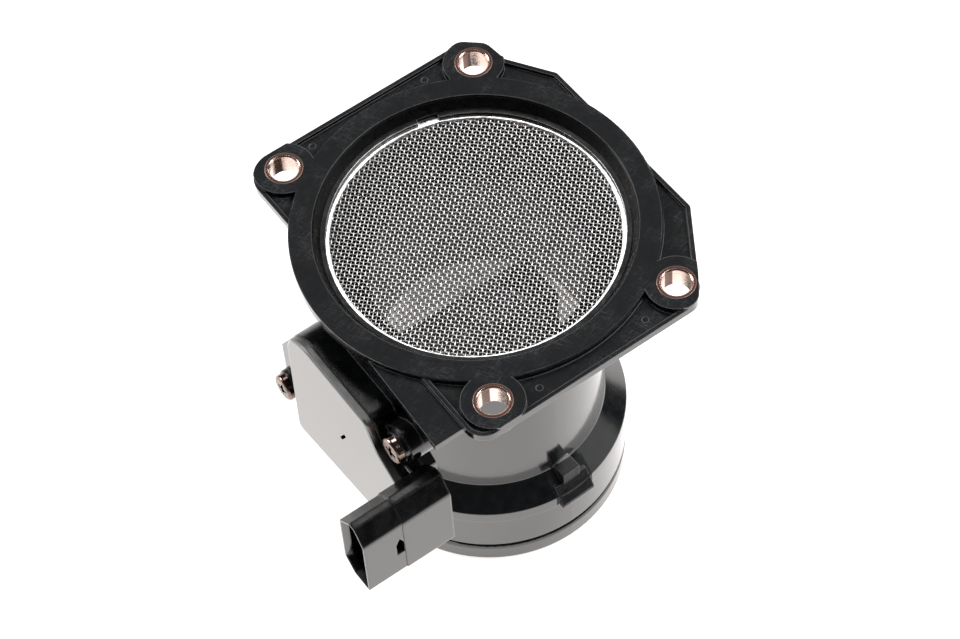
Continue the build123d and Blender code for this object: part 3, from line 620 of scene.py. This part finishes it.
@dataclass(frozen=True)
class WorkedMetal:
    """A turned, drawn or stamped metal with tool marks, tarnish and bright edges that are partly
    rubbing and partly painted highlight.

    Attributes:
        name: the material's name.
        colour, stain, edge: colour of clean and of tarnished metal, and of its edges, where it is
        partly rubbing and partly painted highlight.
        roughness: least and greatest roughness.
        radius: radius of soft edges in metres.
        lines, patches: tool marks and stains per metre.
        bump: height of the tool marks in metres.
        face, face_roughness: colour and least roughness of level faces, if they differ; that
        colour is painted dark reflection.
        painted_dark: direction whose facing walls carry a stripe of painted dark reflection in face's
        colour, if any do.
    """

    name: str
    colour: Colour
    stain: Colour
    edge: Colour
    roughness: tuple[float, float] = (0.22, 0.38)
    radius: float = 0.0002
    lines: float = 9000.0
    patches: float = 250.0
    bump: float = 0.00003
    painted_dark_tone: Colour | None = None
    face_roughness: float = 0.5
    painted_dark: Colour | None = None

    def build(self) -> bpy.types.Material:
        """Builds the material.

        Returns:
            The material, with stains in its colour, painted highlight on its edges, painted dark
            reflection on level faces and in a stripe where set, and its tool marks in roughness and
            height.
        """
        material, tree, shader = start_material(self.name)
        sizes = {"Line_Scale": self.lines, "Stain_Scale": self.patches}
        marks = use_effect(tree, Effect.TURNED_LINES, **sizes).outputs
        wear_and_highlight = use_effect(tree, Effect.EDGE_WEAR_AND_HIGHLIGHT, Radius=self.radius).outputs
        tone = blend(tree, marks["Stain"], self.colour, self.stain)
        rough = spread(tree, marks["Line"], 0.0, 1.0, *self.roughness)
        # Level faces are painted dark, as painted reflection.
        if self.painted_dark_tone:
            tilt = scalar(tree, "ABSOLUTE", split_axes(tree, face_normal(tree))[2])
            level = spread(tree, tilt, 0.8, 0.95)
            tone = blend(tree, level, tone, self.painted_dark_tone)
            rough = scalar(tree, "MAXIMUM", rough, scalar(tree, "MULTIPLY", level, self.face_roughness))
        # A stripe of painted dark reflection on the walls that look the set way.
        if self.painted_dark:
            facing = place(tree, "VectorMath", operation="DOT_PRODUCT")
            connect(tree, face_normal(tree), facing, 0)
            facing.inputs[1].default_value = self.painted_dark
            stripe = spread(tree, facing.outputs["Value"], 0.945, 0.965, 0.0, 0.95)
            tone = blend(tree, stripe, tone, self.painted_dark_tone)
        # Edges take the edge colour partly as rubbing and partly as painted highlight.
        connect(tree, blend(tree, wear_and_highlight["Edge"], tone, self.edge), shader, "Base Color")
        shader.inputs["Metallic"].default_value = 1.0
        connect(tree, rough, shader, "Roughness")
        add_bump(tree, shader, marks["Line"], self.bump, wear_and_highlight["Normal"])
        return material


@dataclass(frozen=True)
class DrawnWire:
    """The bright drawn wire of the woven screen, with painted shade where it dives under.

    Attributes:
        name: the material's name.
        colour: the clean wire's colour.
        dirt: the stained wire's colour.
        painted_shade: the colour painted on its low parts as shade.
        roughness: least and greatest roughness.
        middle: height of the weave's middle in metres.
        dive: heights above the middle between which the wire turns from painted shade to bright.
    """

    name: str
    colour: Colour
    dirt: Colour
    painted_shade: Colour
    roughness: tuple[float, float]
    middle: float = 0.0912
    dive: tuple[float, float] = (-0.00004, 0.00014)

    def build(self) -> bpy.types.Material:
        """Builds the material.

        Returns:
            The material, whose colour changes slowly over the screen, with painted shade on the wire's
            low parts.
        """
        material, tree, shader = start_material(self.name)
        marks = use_effect(tree, Effect.TURNED_LINES, Line_Scale=4000.0, Stain_Scale=90.0).outputs
        low, high = (self.middle + height for height in self.dive)
        # Painted shade: the wire's colour darkens below the weave's middle, where it passes under.
        painted_shade = spread(tree, split_axes(tree, object_point(tree))[2], low, high, 1.0, 0.0)
        tone = blend(tree, marks["Stain"], self.colour, self.dirt)
        connect(tree, blend(tree, painted_shade, tone, self.painted_shade), shader, "Base Color")
        connect(tree, spread(tree, marks["Line"], 0.0, 1.0, *self.roughness), shader, "Roughness")
        shader.inputs["Metallic"].default_value = 1.0
        return material


@dataclass(frozen=True)
class Ceramic:
    """A fired ceramic or glass body with a fine speckle.

    Attributes:
        name: the material's name.
        colour: the body's colour.
        speck: the speckle's colour.
        roughness: least and greatest roughness.
        ior: index of refraction.
        bump: what a height of 1 stands for, in metres.
    """

    name: str
    colour: Colour
    speck: Colour
    roughness: tuple[float, float]
    ior: float = 1.55
    bump: float = 0.00004

    def build(self) -> bpy.types.Material:
        """Builds the material.

        Returns:
            The material, speckled in colour and grainy in height.
        """
        material, tree, shader = start_material(self.name)
        skin = use_effect(tree, Effect.MOULDED_SKIN, Cloud_Scale=400.0, Grain=0.6).outputs
        connect(tree, blend(tree, skin["Sheen"], self.colour, self.speck), shader, "Base Color")
        connect(tree, spread(tree, skin["Tone"], 0.0, 1.0, *self.roughness), shader, "Roughness")
        add_bump(tree, shader, skin["Height"], self.bump)
        shader.inputs["IOR"].default_value = self.ior
        return material


Finish = MouldedPlastic | WorkedMetal | DrawnWire | Ceramic


def dress(node: bpy.types.Object, material: bpy.types.Material) -> None:
    """Gives every material slot of a piece one material.

    Args:
        node: the piece.
        material: its finish.
    """
    for slot in node.material_slots:
        slot.material = material
    if not node.material_slots:
        node.data.materials.append(material)


class DressedGroup:
    """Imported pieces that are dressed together."""

    def pieces(self) -> list[tuple[Finish, list[str]]]:
        """Lists each finish with the names of its pieces."""
        raise NotImplementedError

    def build(self, nodes: dict[str, bpy.types.Object]) -> None:
        """Builds each finish and dresses its pieces.

        Args:
            nodes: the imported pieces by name.
        """
        for finish, names in self.pieces():
            material = finish.build()
            for name in names:
                dress(nodes[name], material)
            LOG.info("%s: %s", finish.name, ", ".join(names))


# Meshes


def make_piece(
    name: str, points: np.ndarray, faces: np.ndarray, material: bpy.types.Material
) -> bpy.types.Object:
    """Makes a smooth-shaded mesh object from whole arrays.

    Args:
        name: the piece's name.
        points: corner positions in metres, one row each.
        faces: corner numbers, one row for each face.
        material: the piece's finish.

    Returns:
        The object, at the origin.
    """
    count, corners = faces.shape
    mesh = bpy.data.meshes.new(name)
    mesh.vertices.add(len(points))
    mesh.vertices.foreach_set("co", points.astype(np.float32).ravel())
    mesh.loops.add(faces.size)
    mesh.loops.foreach_set("vertex_index", faces.astype(np.int32).ravel())
    mesh.polygons.add(count)
    mesh.polygons.foreach_set("loop_start", np.arange(0, faces.size, corners, dtype=np.int32))
    mesh.polygons.foreach_set("loop_total", np.full(count, corners, dtype=np.int32))
    mesh.polygons.foreach_set("use_smooth", np.ones(count, dtype=bool))
    mesh.update(calc_edges=True)
    mesh.validate()
    mesh.materials.append(material)
    piece = bpy.data.objects.new(name, mesh)
    bpy.context.scene.collection.objects.link(piece)
    return piece


def tube_faces(starts: np.ndarray, counts: np.ndarray) -> np.ndarray:
    """Numbers the faces of many closed six-sided tubes that stand one after another.

    Args:
        starts: number of the first ring of each tube.
        counts: rings in each tube.

    Returns:
        Four corner numbers a face: ring k corner s, ring k corner s+1, ring k+1 corner s+1,
        ring k+1 corner s. The last ring of a tube has no following one. Two more faces close
        each end of a tube.
    """
    sides = 6
    rings = np.arange(int(counts.sum()))
    last = np.zeros(len(rings), dtype=bool)
    last[starts + counts - 1] = True
    near = rings[~last][:, None] * sides
    side = np.arange(sides)[None, :]
    beside = (side + 1) % sides
    corner = [near + side, near + beside, near + sides + beside, near + sides + side]
    walls = np.stack(corner, axis=-1).reshape(-1, 4)
    first = starts[:, None, None] * sides
    final = (starts + counts - 1)[:, None, None] * sides
    cap = np.array(HEXAGON_CAP)
    ends = [(first + cap).reshape(-1, 4), (final + cap[:, ::-1]).reshape(-1, 4)]
    return np.concatenate([walls, *ends])


@dataclass(frozen=True)
class CrimpedRim:
    """The bright folded rim of the screen, crimped a little unevenly round its inner edge.

    Attributes:
        inner, outer: its radii in metres.
        low, high: heights of its two sides.
        roll: radius of its rolled edges.
        waver: how far the inner side moves in and out.
        waves: turns round the rim, size and start of each sine of that movement.
        steps, arc: sections round the rim, and points in each rolled edge.
    """

    inner: float = 0.0339
    outer: float = 0.0358
    low: float = 0.0904
    high: float = 0.092
    roll: float = 0.00018
    waver: float = 0.00007
    waves: tuple[tuple[float, float, float], ...] = ((5, 1.0, 0.0), (23, 0.6, 1.0), (61, 0.4, 2.0))
    steps: int = 720
    arc: int = 6

    def section(self) -> np.ndarray:
        """Works out the rim's section, a rectangle with four rolled corners.

        Returns:
            Radius and height of each corner of the section, in order round it.
        """
        turn = np.linspace(0.0, math.pi / 2, self.arc)
        edges = []
        for index, (side, level) in enumerate(((1, 1), (-1, 1), (-1, -1), (1, -1))):
            radius = self.outer if side > 0 else self.inner
            height = self.high if level > 0 else self.low
            angle = turn + index * math.pi / 2
            away = radius - side * self.roll + self.roll * np.cos(angle)
            up = height - level * self.roll + self.roll * np.sin(angle)
            edges.append(np.stack([away, up], axis=1))
        return np.concatenate(edges)

    def build(self, finish: bpy.types.Material) -> None:
        """Builds the rim in place of the CAD's plain one.

        The section is turned round the flow axis. Its inner side moves in and out by the sum
        of size times sin(turns times angle plus start) over the waves, times waver, as far as
        a corner is from the outer side.

        Args:
            finish: the rim's material.
        """
        section = self.section()
        count = len(section)
        angle = 2 * np.pi * np.arange(self.steps)[:, None] / self.steps
        wave = sum(size * np.sin(turns * angle + start) for turns, size, start in self.waves)
        share = (self.outer - section[:, 0]) / (self.outer - self.inner)
        radius = section[:, 0] + self.waver * wave * share
        height = np.broadcast_to(section[:, 1], radius.shape)
        points = np.stack([radius * np.cos(angle), radius * np.sin(angle), height], axis=-1)
        step, corner = np.meshgrid(np.arange(self.steps), np.arange(count), indexing="ij")
        ahead, beside = (step + 1) % self.steps * count, (corner + 1) % count
        here = step * count
        faces = np.stack([here + corner, ahead + corner, ahead + beside, here + beside], axis=-1)
        piece = make_piece("screen_rim_crimped", points.reshape(-1, 3), faces.reshape(-1, 4), finish)
        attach(piece, BODY)
        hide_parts("screen_ring")


@dataclass(frozen=True)
class InletScreen:
    """The woven wire screen, gripped by its bright rim and held by a split ring.

    Attributes:
        radius: radius of the screen in metres.
        pitch: distance between neighbouring wires of the warp and of the weft.
        wire_radius, crimp: radius of a wire, and height of the weave's waves in such radii.
        height, turn: height of the weave's middle, and how far the warp is turned from X.
        stray: size of the slow sines that bend the wires.
        taper: how far a wire's ends are drawn in.
        steps, sides: rings between two crossings, and corners in a ring.
    """

    radius: float = 0.0348
    pitch: tuple[float, float] = (0.000972, 0.000945)
    wire_radius: float = 0.00015
    crimp: float = 1.0
    height: float = 0.0912
    turn: float = math.radians(45.0)
    stray: float = 0.00012
    taper: float = 0.999
    steps: int = 3
    sides: int = 6

    def wires(self, family: Family) -> tuple[np.ndarray, np.ndarray]:
        """Works out one family of wires.

        Wire i runs along u at the offset i times the family's pitch, as far as the screen's
        circle allows. Its height is plus or minus the wire's radius times crimp times the
        cosine of pi times u over the other family's pitch, with the sign turned from one wire
        to the next, so that each wire goes over and under its crossings. The ring round each
        point is a circle across the path. The whole plane is then bent and turned.

        Args:
            family: which wires.

        Returns:
            Corner positions, and four corner numbers a face.
        """
        own, other = self.pitch if family is Family.WARP else self.pitch[::-1]
        lift = 1.0 if family is Family.WARP else -1.0
        reach = int(self.radius / own)
        wire = np.arange(-reach, reach + 1)
        half = np.sqrt(self.radius**2 - (wire * own) ** 2)
        step = other / self.steps
        wire, half = wire[half > 2 * step], half[half > 2 * step]
        counts = (2 * np.floor(half / step)).astype(int) + 3
        starts = np.concatenate(([0], np.cumsum(counts)[:-1]))
        number = np.repeat(np.arange(len(wire)), counts)
        place_on = np.arange(int(counts.sum())) - starts[number] - (counts[number] - 1) // 2
        u = np.clip(place_on * step, -half[number], half[number])
        v = wire[number] * own
        sign = lift * (1 - 2 * (np.abs(wire[number]) % 2))
        swing = sign * self.wire_radius * self.crimp
        z = swing * np.cos(np.pi * u / other)
        slope = -swing * np.pi / other * np.sin(np.pi * u / other)
        long = np.stack([np.ones_like(u), slope], axis=1)
        long /= np.linalg.norm(long, axis=1)[:, None]
        angle = 2 * np.pi * np.arange(self.sides) / self.sides
        tip = np.zeros(len(u))
        tip[starts], tip[starts + counts - 1] = 1.0, 1.0
        thick = (self.wire_radius * (1 - self.taper * tip))[:, None]
        along = u[:, None] - thick * np.sin(angle) * long[:, 1:2]
        across = v[:, None] + thick * np.cos(angle)
        up = z[:, None] + thick * np.sin(angle) * long[:, 0:1]
        if family is Family.WEFT:
            along, across = -across, along
        return self.bend(along, across, up), tube_faces(starts, counts)

    def bend(self, along: np.ndarray, across: np.ndarray, up: np.ndarray) -> np.ndarray:
        """Bends the weave by slow sines, turns it in its plane and lifts it into place.

        Along moves by stray (sin 130 across + 0.6 sin(210 along + 1)), and across by stray
        (sin(150 along + 2) + 0.6 sin 230 across), less and less towards the screen's rim.

        Args:
            along: positions along the warp.
            across: positions across the warp.
            up: heights above the weave's middle.

        Returns:
            Corner positions, one row each.
        """
        shift = self.stray * (np.sin(across * 130) + 0.6 * np.sin(along * 210 + 1.0))
        slide = self.stray * (np.sin(along * 150 + 2.0) + 0.6 * np.sin(across * 230))
        near = np.clip(1 - (along**2 + across**2) / self.radius**2, 0, 1)
        a, b = along + shift * near, across + slide * near
        x = a * math.cos(self.turn) - b * math.sin(self.turn)
        y = a * math.sin(self.turn) + b * math.cos(self.turn)
        return np.stack([x, y, self.height + up], axis=-1).reshape(-1, 3)

    def build(self, finish: bpy.types.Material) -> None:
        """Builds both families of wires in place of the CAD's plain disc.

        Args:
            finish: the wire's material.
        """
        for family in Family:
            points, faces = self.wires(family)
            piece = make_piece(family.value, points, faces, finish)
            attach(piece, BODY)
            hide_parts("screen_mesh")
            LOG.info("%s: %d faces", piece.name, len(faces))


@dataclass
class BodyMoulding(DressedGroup):
    """The black housing with its four metal compression limiters."""

    plastic: MouldedPlastic = MouldedPlastic(
        "housing_black",
        (0.001, 0.0016, 0.0022),
        (0.011, 0.013, 0.0158),
        (0.34, 0.35, 0.36),
        roughness=(0.13, 0.2),
        satin=(0.45, 0.75),
        satin_from=0.0842,
        bore_from=0.045,
        lug_from=0.0295,
        # Inner walls of the ring painted near black as painted shade.
        throat_painted_shade=0.9,
        ior=1.3,
        polish=1.0,
        polish_ior=1.75,
        radius=0.00035,
        cloud=110.0,
    )
    copper: WorkedMetal = WorkedMetal(
        "limiter_copper",
        (0.94, 0.8, 0.74),
        (0.78, 0.57, 0.49),
        (0.95, 0.72, 0.62),
        roughness=(0.12, 0.22),
        lines=6000.0,
        patches=120.0,
        # Painted dark reflection: dark level faces and a dark stripe in the bores.
        painted_dark_tone=(0.11, 0.05, 0.038),
        painted_dark=(0.995, -0.096, 0.0),
    )

    def pieces(self) -> list[tuple[Finish, list[str]]]:
        """Lists the housing and the limiters."""
        limiters = [f"bushing_{end}_{side}" for end in ("front", "rear") for side in ("left", "right")]
        return [(self.plastic, ["housing"]), (self.copper, limiters)]


@dataclass
class SensorModule(DressedGroup):
    """The module's case, glossy lid, screws and seal."""

    case: MouldedPlastic = MouldedPlastic(
        "module_black",
        (0.003, 0.0035, 0.004),
        (0.006, 0.007, 0.008),
        (0.05, 0.052, 0.055),
        roughness=(0.08, 0.15),
        satin=(0.22, 0.34),
        satin_from=0.0,
        ior=1.35,
        polish=0.75,
        polish_ior=1.85,
        radius=0.0009,
    )
    lid: MouldedPlastic = MouldedPlastic(
        "lid_black",
        (0.004, 0.0045, 0.005),
        (0.007, 0.0075, 0.008),
        (0.04, 0.04, 0.042),
        roughness=(0.1, 0.16),
        satin_from=0.0,
        ior=2.6,
        polish=0.7,
        # The vent slot is painted black as painted shade.
        vent=(0.01215, 0.06575),
        tint=(1.0, 1.0, 0.985),
        polish_ior=1.5,
        bump=0.00005,
        dust=0.05,
    )
    screw: WorkedMetal = WorkedMetal(
        "screw_copper",
        (0.34, 0.245, 0.215),
        (0.1, 0.066, 0.056),
        # Bright edge colour: partly rubbing and partly painted glint on the heads.
        (0.95, 0.86, 0.81),
        roughness=(0.1, 0.18),
        lines=3000.0,
    )
    rubber: MouldedPlastic = MouldedPlastic(
        "seal_rubber",
        (0.02, 0.02, 0.02),
        (0.03, 0.03, 0.03),
        (0.05, 0.05, 0.05),
        roughness=(0.55, 0.7),
        ior=1.45,
    )

    def pieces(self) -> list[tuple[Finish, list[str]]]:
        """Lists the module's outer pieces."""
        return [
            (self.case, ["sensor_case"]),
            (self.lid, ["sensor_cover"]),
            (self.rubber, ["case_seal"]),
            (self.screw, ["case_screw_upper", "case_screw_lower"]),
        ]


@dataclass
class MeasuringCircuit(DressedGroup):
    """Everything that measures: duct, plate, board, chip, blades, posts, elements and bead."""

    duct: MouldedPlastic = MouldedPlastic(
        "duct_black",
        (0.003, 0.003, 0.0034),
        (0.006, 0.006, 0.007),
        (0.03, 0.03, 0.03),
        roughness=(0.4, 0.5),
        ior=1.45,
        dust=0.0,
    )
    chip: MouldedPlastic = MouldedPlastic(
        "chip_black",
        (0.02, 0.02, 0.022),
        (0.03, 0.03, 0.032),
        (0.07, 0.07, 0.07),
        roughness=(0.4, 0.55),
        ior=1.5,
        dust=0.0,
    )
    plate: WorkedMetal = WorkedMetal(
        "plate_aluminium", (0.72, 0.73, 0.74), (0.6, 0.61, 0.62), (0.9, 0.9, 0.9)
    )
    blade: WorkedMetal = WorkedMetal(
        "blade_tin", (0.74, 0.72, 0.68), (0.58, 0.54, 0.48), (0.92, 0.9, 0.86)
    )
    post: WorkedMetal = WorkedMetal(
        "post_steel", (0.62, 0.61, 0.59), (0.5, 0.48, 0.45), (0.85, 0.84, 0.82)
    )
    board: Ceramic = Ceramic("board_alumina", (0.72, 0.71, 0.66), (0.62, 0.61, 0.56), (0.45, 0.6))
    element: Ceramic = Ceramic("element_glass", (0.5, 0.42, 0.3), (0.38, 0.3, 0.2), (0.15, 0.3))
    bead: Ceramic = Ceramic("bead_glass", (0.1, 0.22, 0.13), (0.06, 0.15, 0.09), (0.12, 0.25))

    def pieces(self) -> list[tuple[Finish, list[str]]]:
        """Lists the inner pieces."""
        return [
            (self.duct, ["bypass_duct", "bypass_cover"]),
            (self.chip, ["control_chip"]),
            (self.plate, ["base_plate"]),
            (self.blade, [f"terminal_{number}" for number in range(1, 6)]),
            (self.post, [f"support_pin_{number}" for number in range(1, 5)]),
            (self.board, ["circuit_board"]),
            (self.element, ["hot_element", "cold_element"]),
            (self.bead, ["air_thermistor"]),
        ]


@dataclass
class ScreenMetal(DressedGroup):
    """The screen's rim, its split ring and its wires."""

    rim: WorkedMetal = WorkedMetal(
        "rim_bright", (0.72, 0.71, 0.7), (0.6, 0.59, 0.58), (0.93, 0.93, 0.93), roughness=(0.22, 0.36)
    )
    spring: WorkedMetal = WorkedMetal(
        "spring_steel",
        (0.02, 0.02, 0.021),
        (0.012, 0.012, 0.012),
        (0.85, 0.85, 0.85),
        roughness=(0.3, 0.4),
        radius=0.0003,
    )
    # The third colour is painted shade on the wires' low parts.
    wire: DrawnWire = DrawnWire(
        "wire_bright", (0.98, 0.955, 0.94), (0.94, 0.915, 0.895), (0.38, 0.37, 0.36), (0.27, 0.33)
    )
    crimp: CrimpedRim = CrimpedRim()
    screen: InletScreen = InletScreen()

    def pieces(self) -> list[tuple[Finish, list[str]]]:
        """Lists the screen and what holds it."""
        return [
            (self.rim, ["screen_ring"]),
            (self.spring, ["retaining_ring"]),
            (self.wire, ["screen_mesh"]),
        ]

    def build(self, nodes: dict[str, bpy.types.Object]) -> None:
        """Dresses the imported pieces, then builds the rim and the weave that take their place.

        Args:
            nodes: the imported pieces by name.
        """
        super().build(nodes)
        self.crimp.build(nodes["screen_ring"].active_material)
        self.screen.build(nodes["screen_mesh"].active_material)


# Studio


@dataclass(frozen=True)
class SoftBox:
    """A square lamp that faces the object.

    Attributes:
        name: the lamp's name.
        spot, side: its place and the length of its sides, in metres.
        power: its power in watts.
        aim: height on the flow axis at which it looks.
    """

    name: str
    spot: tuple[float, float, float]
    side: float
    power: float
    aim: float = 0.06

    def build(self) -> None:
        """Hangs the lamp."""
        light = bpy.data.lights.new(self.name, "AREA")
        light.shape = "RECTANGLE"
        light.size, light.size_y = self.side, self.side
        light.energy = self.power
        lamp = bpy.data.objects.new(self.name, light)
        lamp.location = self.spot
        look = Vector((0, 0, self.aim)) - Vector(self.spot)
        lamp.rotation_euler = look.to_track_quat("-Z", "Y").to_euler()
        bpy.context.scene.collection.objects.link(lamp)


@dataclass
class Studio:
    """White table, dim room and soft lamps.

    Attributes:
        reach, lines: half the table's side in metres, and its grid lines each way.
        drop: how far the table lies under the spigot's end, so that they share no plane.
        shine, glow: colour and strength of the table to the camera and to reflections.
        room: strength of the room's light.
        lamps: the soft boxes.
    """

    reach: float = 6.0
    lines: int = 25
    drop: float = 0.00001
    shine: Colour = (1.0, 0.955, 0.93)
    glow: float = 0.9
    room: float = 0.05
    lamps: tuple[SoftBox, ...] = (
        SoftBox("soft_box_left", (-1.3, -0.9, 0.9), 0.9, 18.0),
        SoftBox("soft_box_right", (0.45, 0.75, 1.15), 0.6, 11.0),
        SoftBox("soft_box_above", (-0.72, 0.45, 1.33), 0.5, 4.5),
        SoftBox("soft_box_fill", (0.9, 1.2, 0.8), 1.0, 1.9),
    )

    def table_white(self) -> bpy.types.Material:
        """Builds the table's material.

        Returns:
            A dull white that takes the object's shadow, with a glow of its own that only the
            camera, reflections and clear materials see.
        """
        material, tree, shader = start_material("table_white")
        shader.inputs["Roughness"].default_value = 0.9
        shader.inputs["Specular IOR Level"].default_value = 0.0
        shade = noise(tree, object_point(tree), 3.0, 2.0)
        connect(tree, blend(tree, shade, (0.8, 0.8, 0.8), (0.82, 0.82, 0.82)), shader, "Base Color")
        light = place(tree, "LightPath").outputs
        seen = scalar(tree, "MAXIMUM", light["Is Camera Ray"], light["Is Glossy Ray"])
        seen = scalar(tree, "MAXIMUM", seen, light["Is Transmission Ray"])
        glow = place(tree, "Emission")
        glow.inputs["Color"].default_value = (*self.shine, 1.0)
        connect(tree, scalar(tree, "MULTIPLY", seen, self.glow), glow, "Strength")
        both = place(tree, "AddShader")
        connect(tree, shader.outputs[0], both, 0)
        connect(tree, glow.outputs[0], both, 1)
        output = next(node for node in tree.nodes if node.bl_idname == "ShaderNodeOutputMaterial")
        connect(tree, both.outputs[0], output, "Surface")
        return material

    def table(self) -> None:
        """Makes the table, a level grid just under the spigot's end."""
        side = np.linspace(-self.reach, self.reach, self.lines)
        x, y = np.meshgrid(side, side)
        points = np.stack([x, y, np.full_like(x, -self.drop)], axis=-1).reshape(-1, 3)
        cell = np.arange(self.lines - 1)
        row, column = np.meshgrid(cell, cell, indexing="ij")
        first = (row * self.lines + column).ravel()
        faces = np.stack([first, first + 1, first + self.lines + 1, first + self.lines], axis=1)
        table = make_piece("table", points, faces, self.table_white())

    def world(self) -> None:
        """Sets a dim plain room that is white only where the camera sees it bare."""
        world = bpy.data.worlds.new("room")
        world.use_nodes = True
        tree = world.node_tree
        tree.nodes.clear()
        background = place(tree, "Background")
        background.inputs["Color"].default_value = (*WHITE, 1.0)
        seen = place(tree, "LightPath").outputs["Is Camera Ray"]
        connect(tree, spread(tree, seen, 0.0, 1.0, self.room, 1.0), background, "Strength")
        connect(tree, background.outputs[0], place(tree, "OutputWorld"), "Surface")
        bpy.context.scene.world = world

    def build(self) -> None:
        """Builds the table, the room and the lamps."""
        self.table()
        self.world()
        for lamp in self.lamps:
            lamp.build()
        LOG.info("studio built")


@dataclass
class ViewCamera:
    """The photograph's camera.

    Attributes:
        azimuth: how far it stands round the object from -Y towards +X, in radians.
        elevation, roll: how far it looks down, and is turned about its own axis.
        distance, aside, above: its place from the pivot along its own axes, in metres.
        pivot: height of the pivot on the flow axis.
        lens: focal length in millimetres, on a sensor 36 mm wide.
        clip: nearest and farthest distance that it sees.
    """

    azimuth: float = math.radians(57.896)
    elevation: float = math.radians(55.668)
    roll: float = math.radians(-4.644)
    distance: float = 0.691344
    aside: float = 0.001103
    above: float = -0.022166
    pivot: float = 0.096
    lens: float = 112.5
    clip: tuple[float, float] = (0.01, 50.0)

    def build(self) -> None:
        """Places the camera.

        Its back axis comes from the azimuth and elevation, its right and up axes are turned
        by the roll, and it stands back from the pivot on the flow axis.
        """
        flat = math.cos(self.elevation)
        sine, cosine = math.sin(self.azimuth), math.cos(self.azimuth)
        back = Vector((sine * flat, -cosine * flat, math.sin(self.elevation)))
        level = Vector((cosine, sine, 0.0))
        upright = back.cross(level)
        right = math.cos(self.roll) * level + math.sin(self.roll) * upright
        up = -math.sin(self.roll) * level + math.cos(self.roll) * upright
        middle = Vector((0, 0, self.pivot))
        eye = right * self.aside + up * self.above + back * self.distance + middle
        data = bpy.data.cameras.new("camera")
        data.sensor_fit, data.sensor_width = "HORIZONTAL", 36.0
        data.lens = self.lens
        data.clip_start, data.clip_end = self.clip
        camera = bpy.data.objects.new("camera", data)
        axes = Matrix((right, up, back)).transposed().to_4x4()
        camera.matrix_world = Matrix.Translation(eye) @ axes
        bpy.context.scene.collection.objects.link(camera)
        bpy.context.scene.camera = camera


def main() -> None:
    """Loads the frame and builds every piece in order."""
    logging.basicConfig(level=logging.INFO, format="%(name)s: %(message)s")
    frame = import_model()
    nodes = frame["nodes"]
    ViewCamera().build()
    build_moulded_skin()
    build_edge_wear_and_highlight()
    build_settled_dust()
    build_turned_lines()
    build_polished_wall()
    for part in (BodyMoulding(), SensorModule(), MeasuringCircuit(), ScreenMetal()):
        part.build(nodes)
    Studio().build()
    bpy.context.scene.view_settings.view_transform = "Standard"


if __name__ == "__main__":
    main()
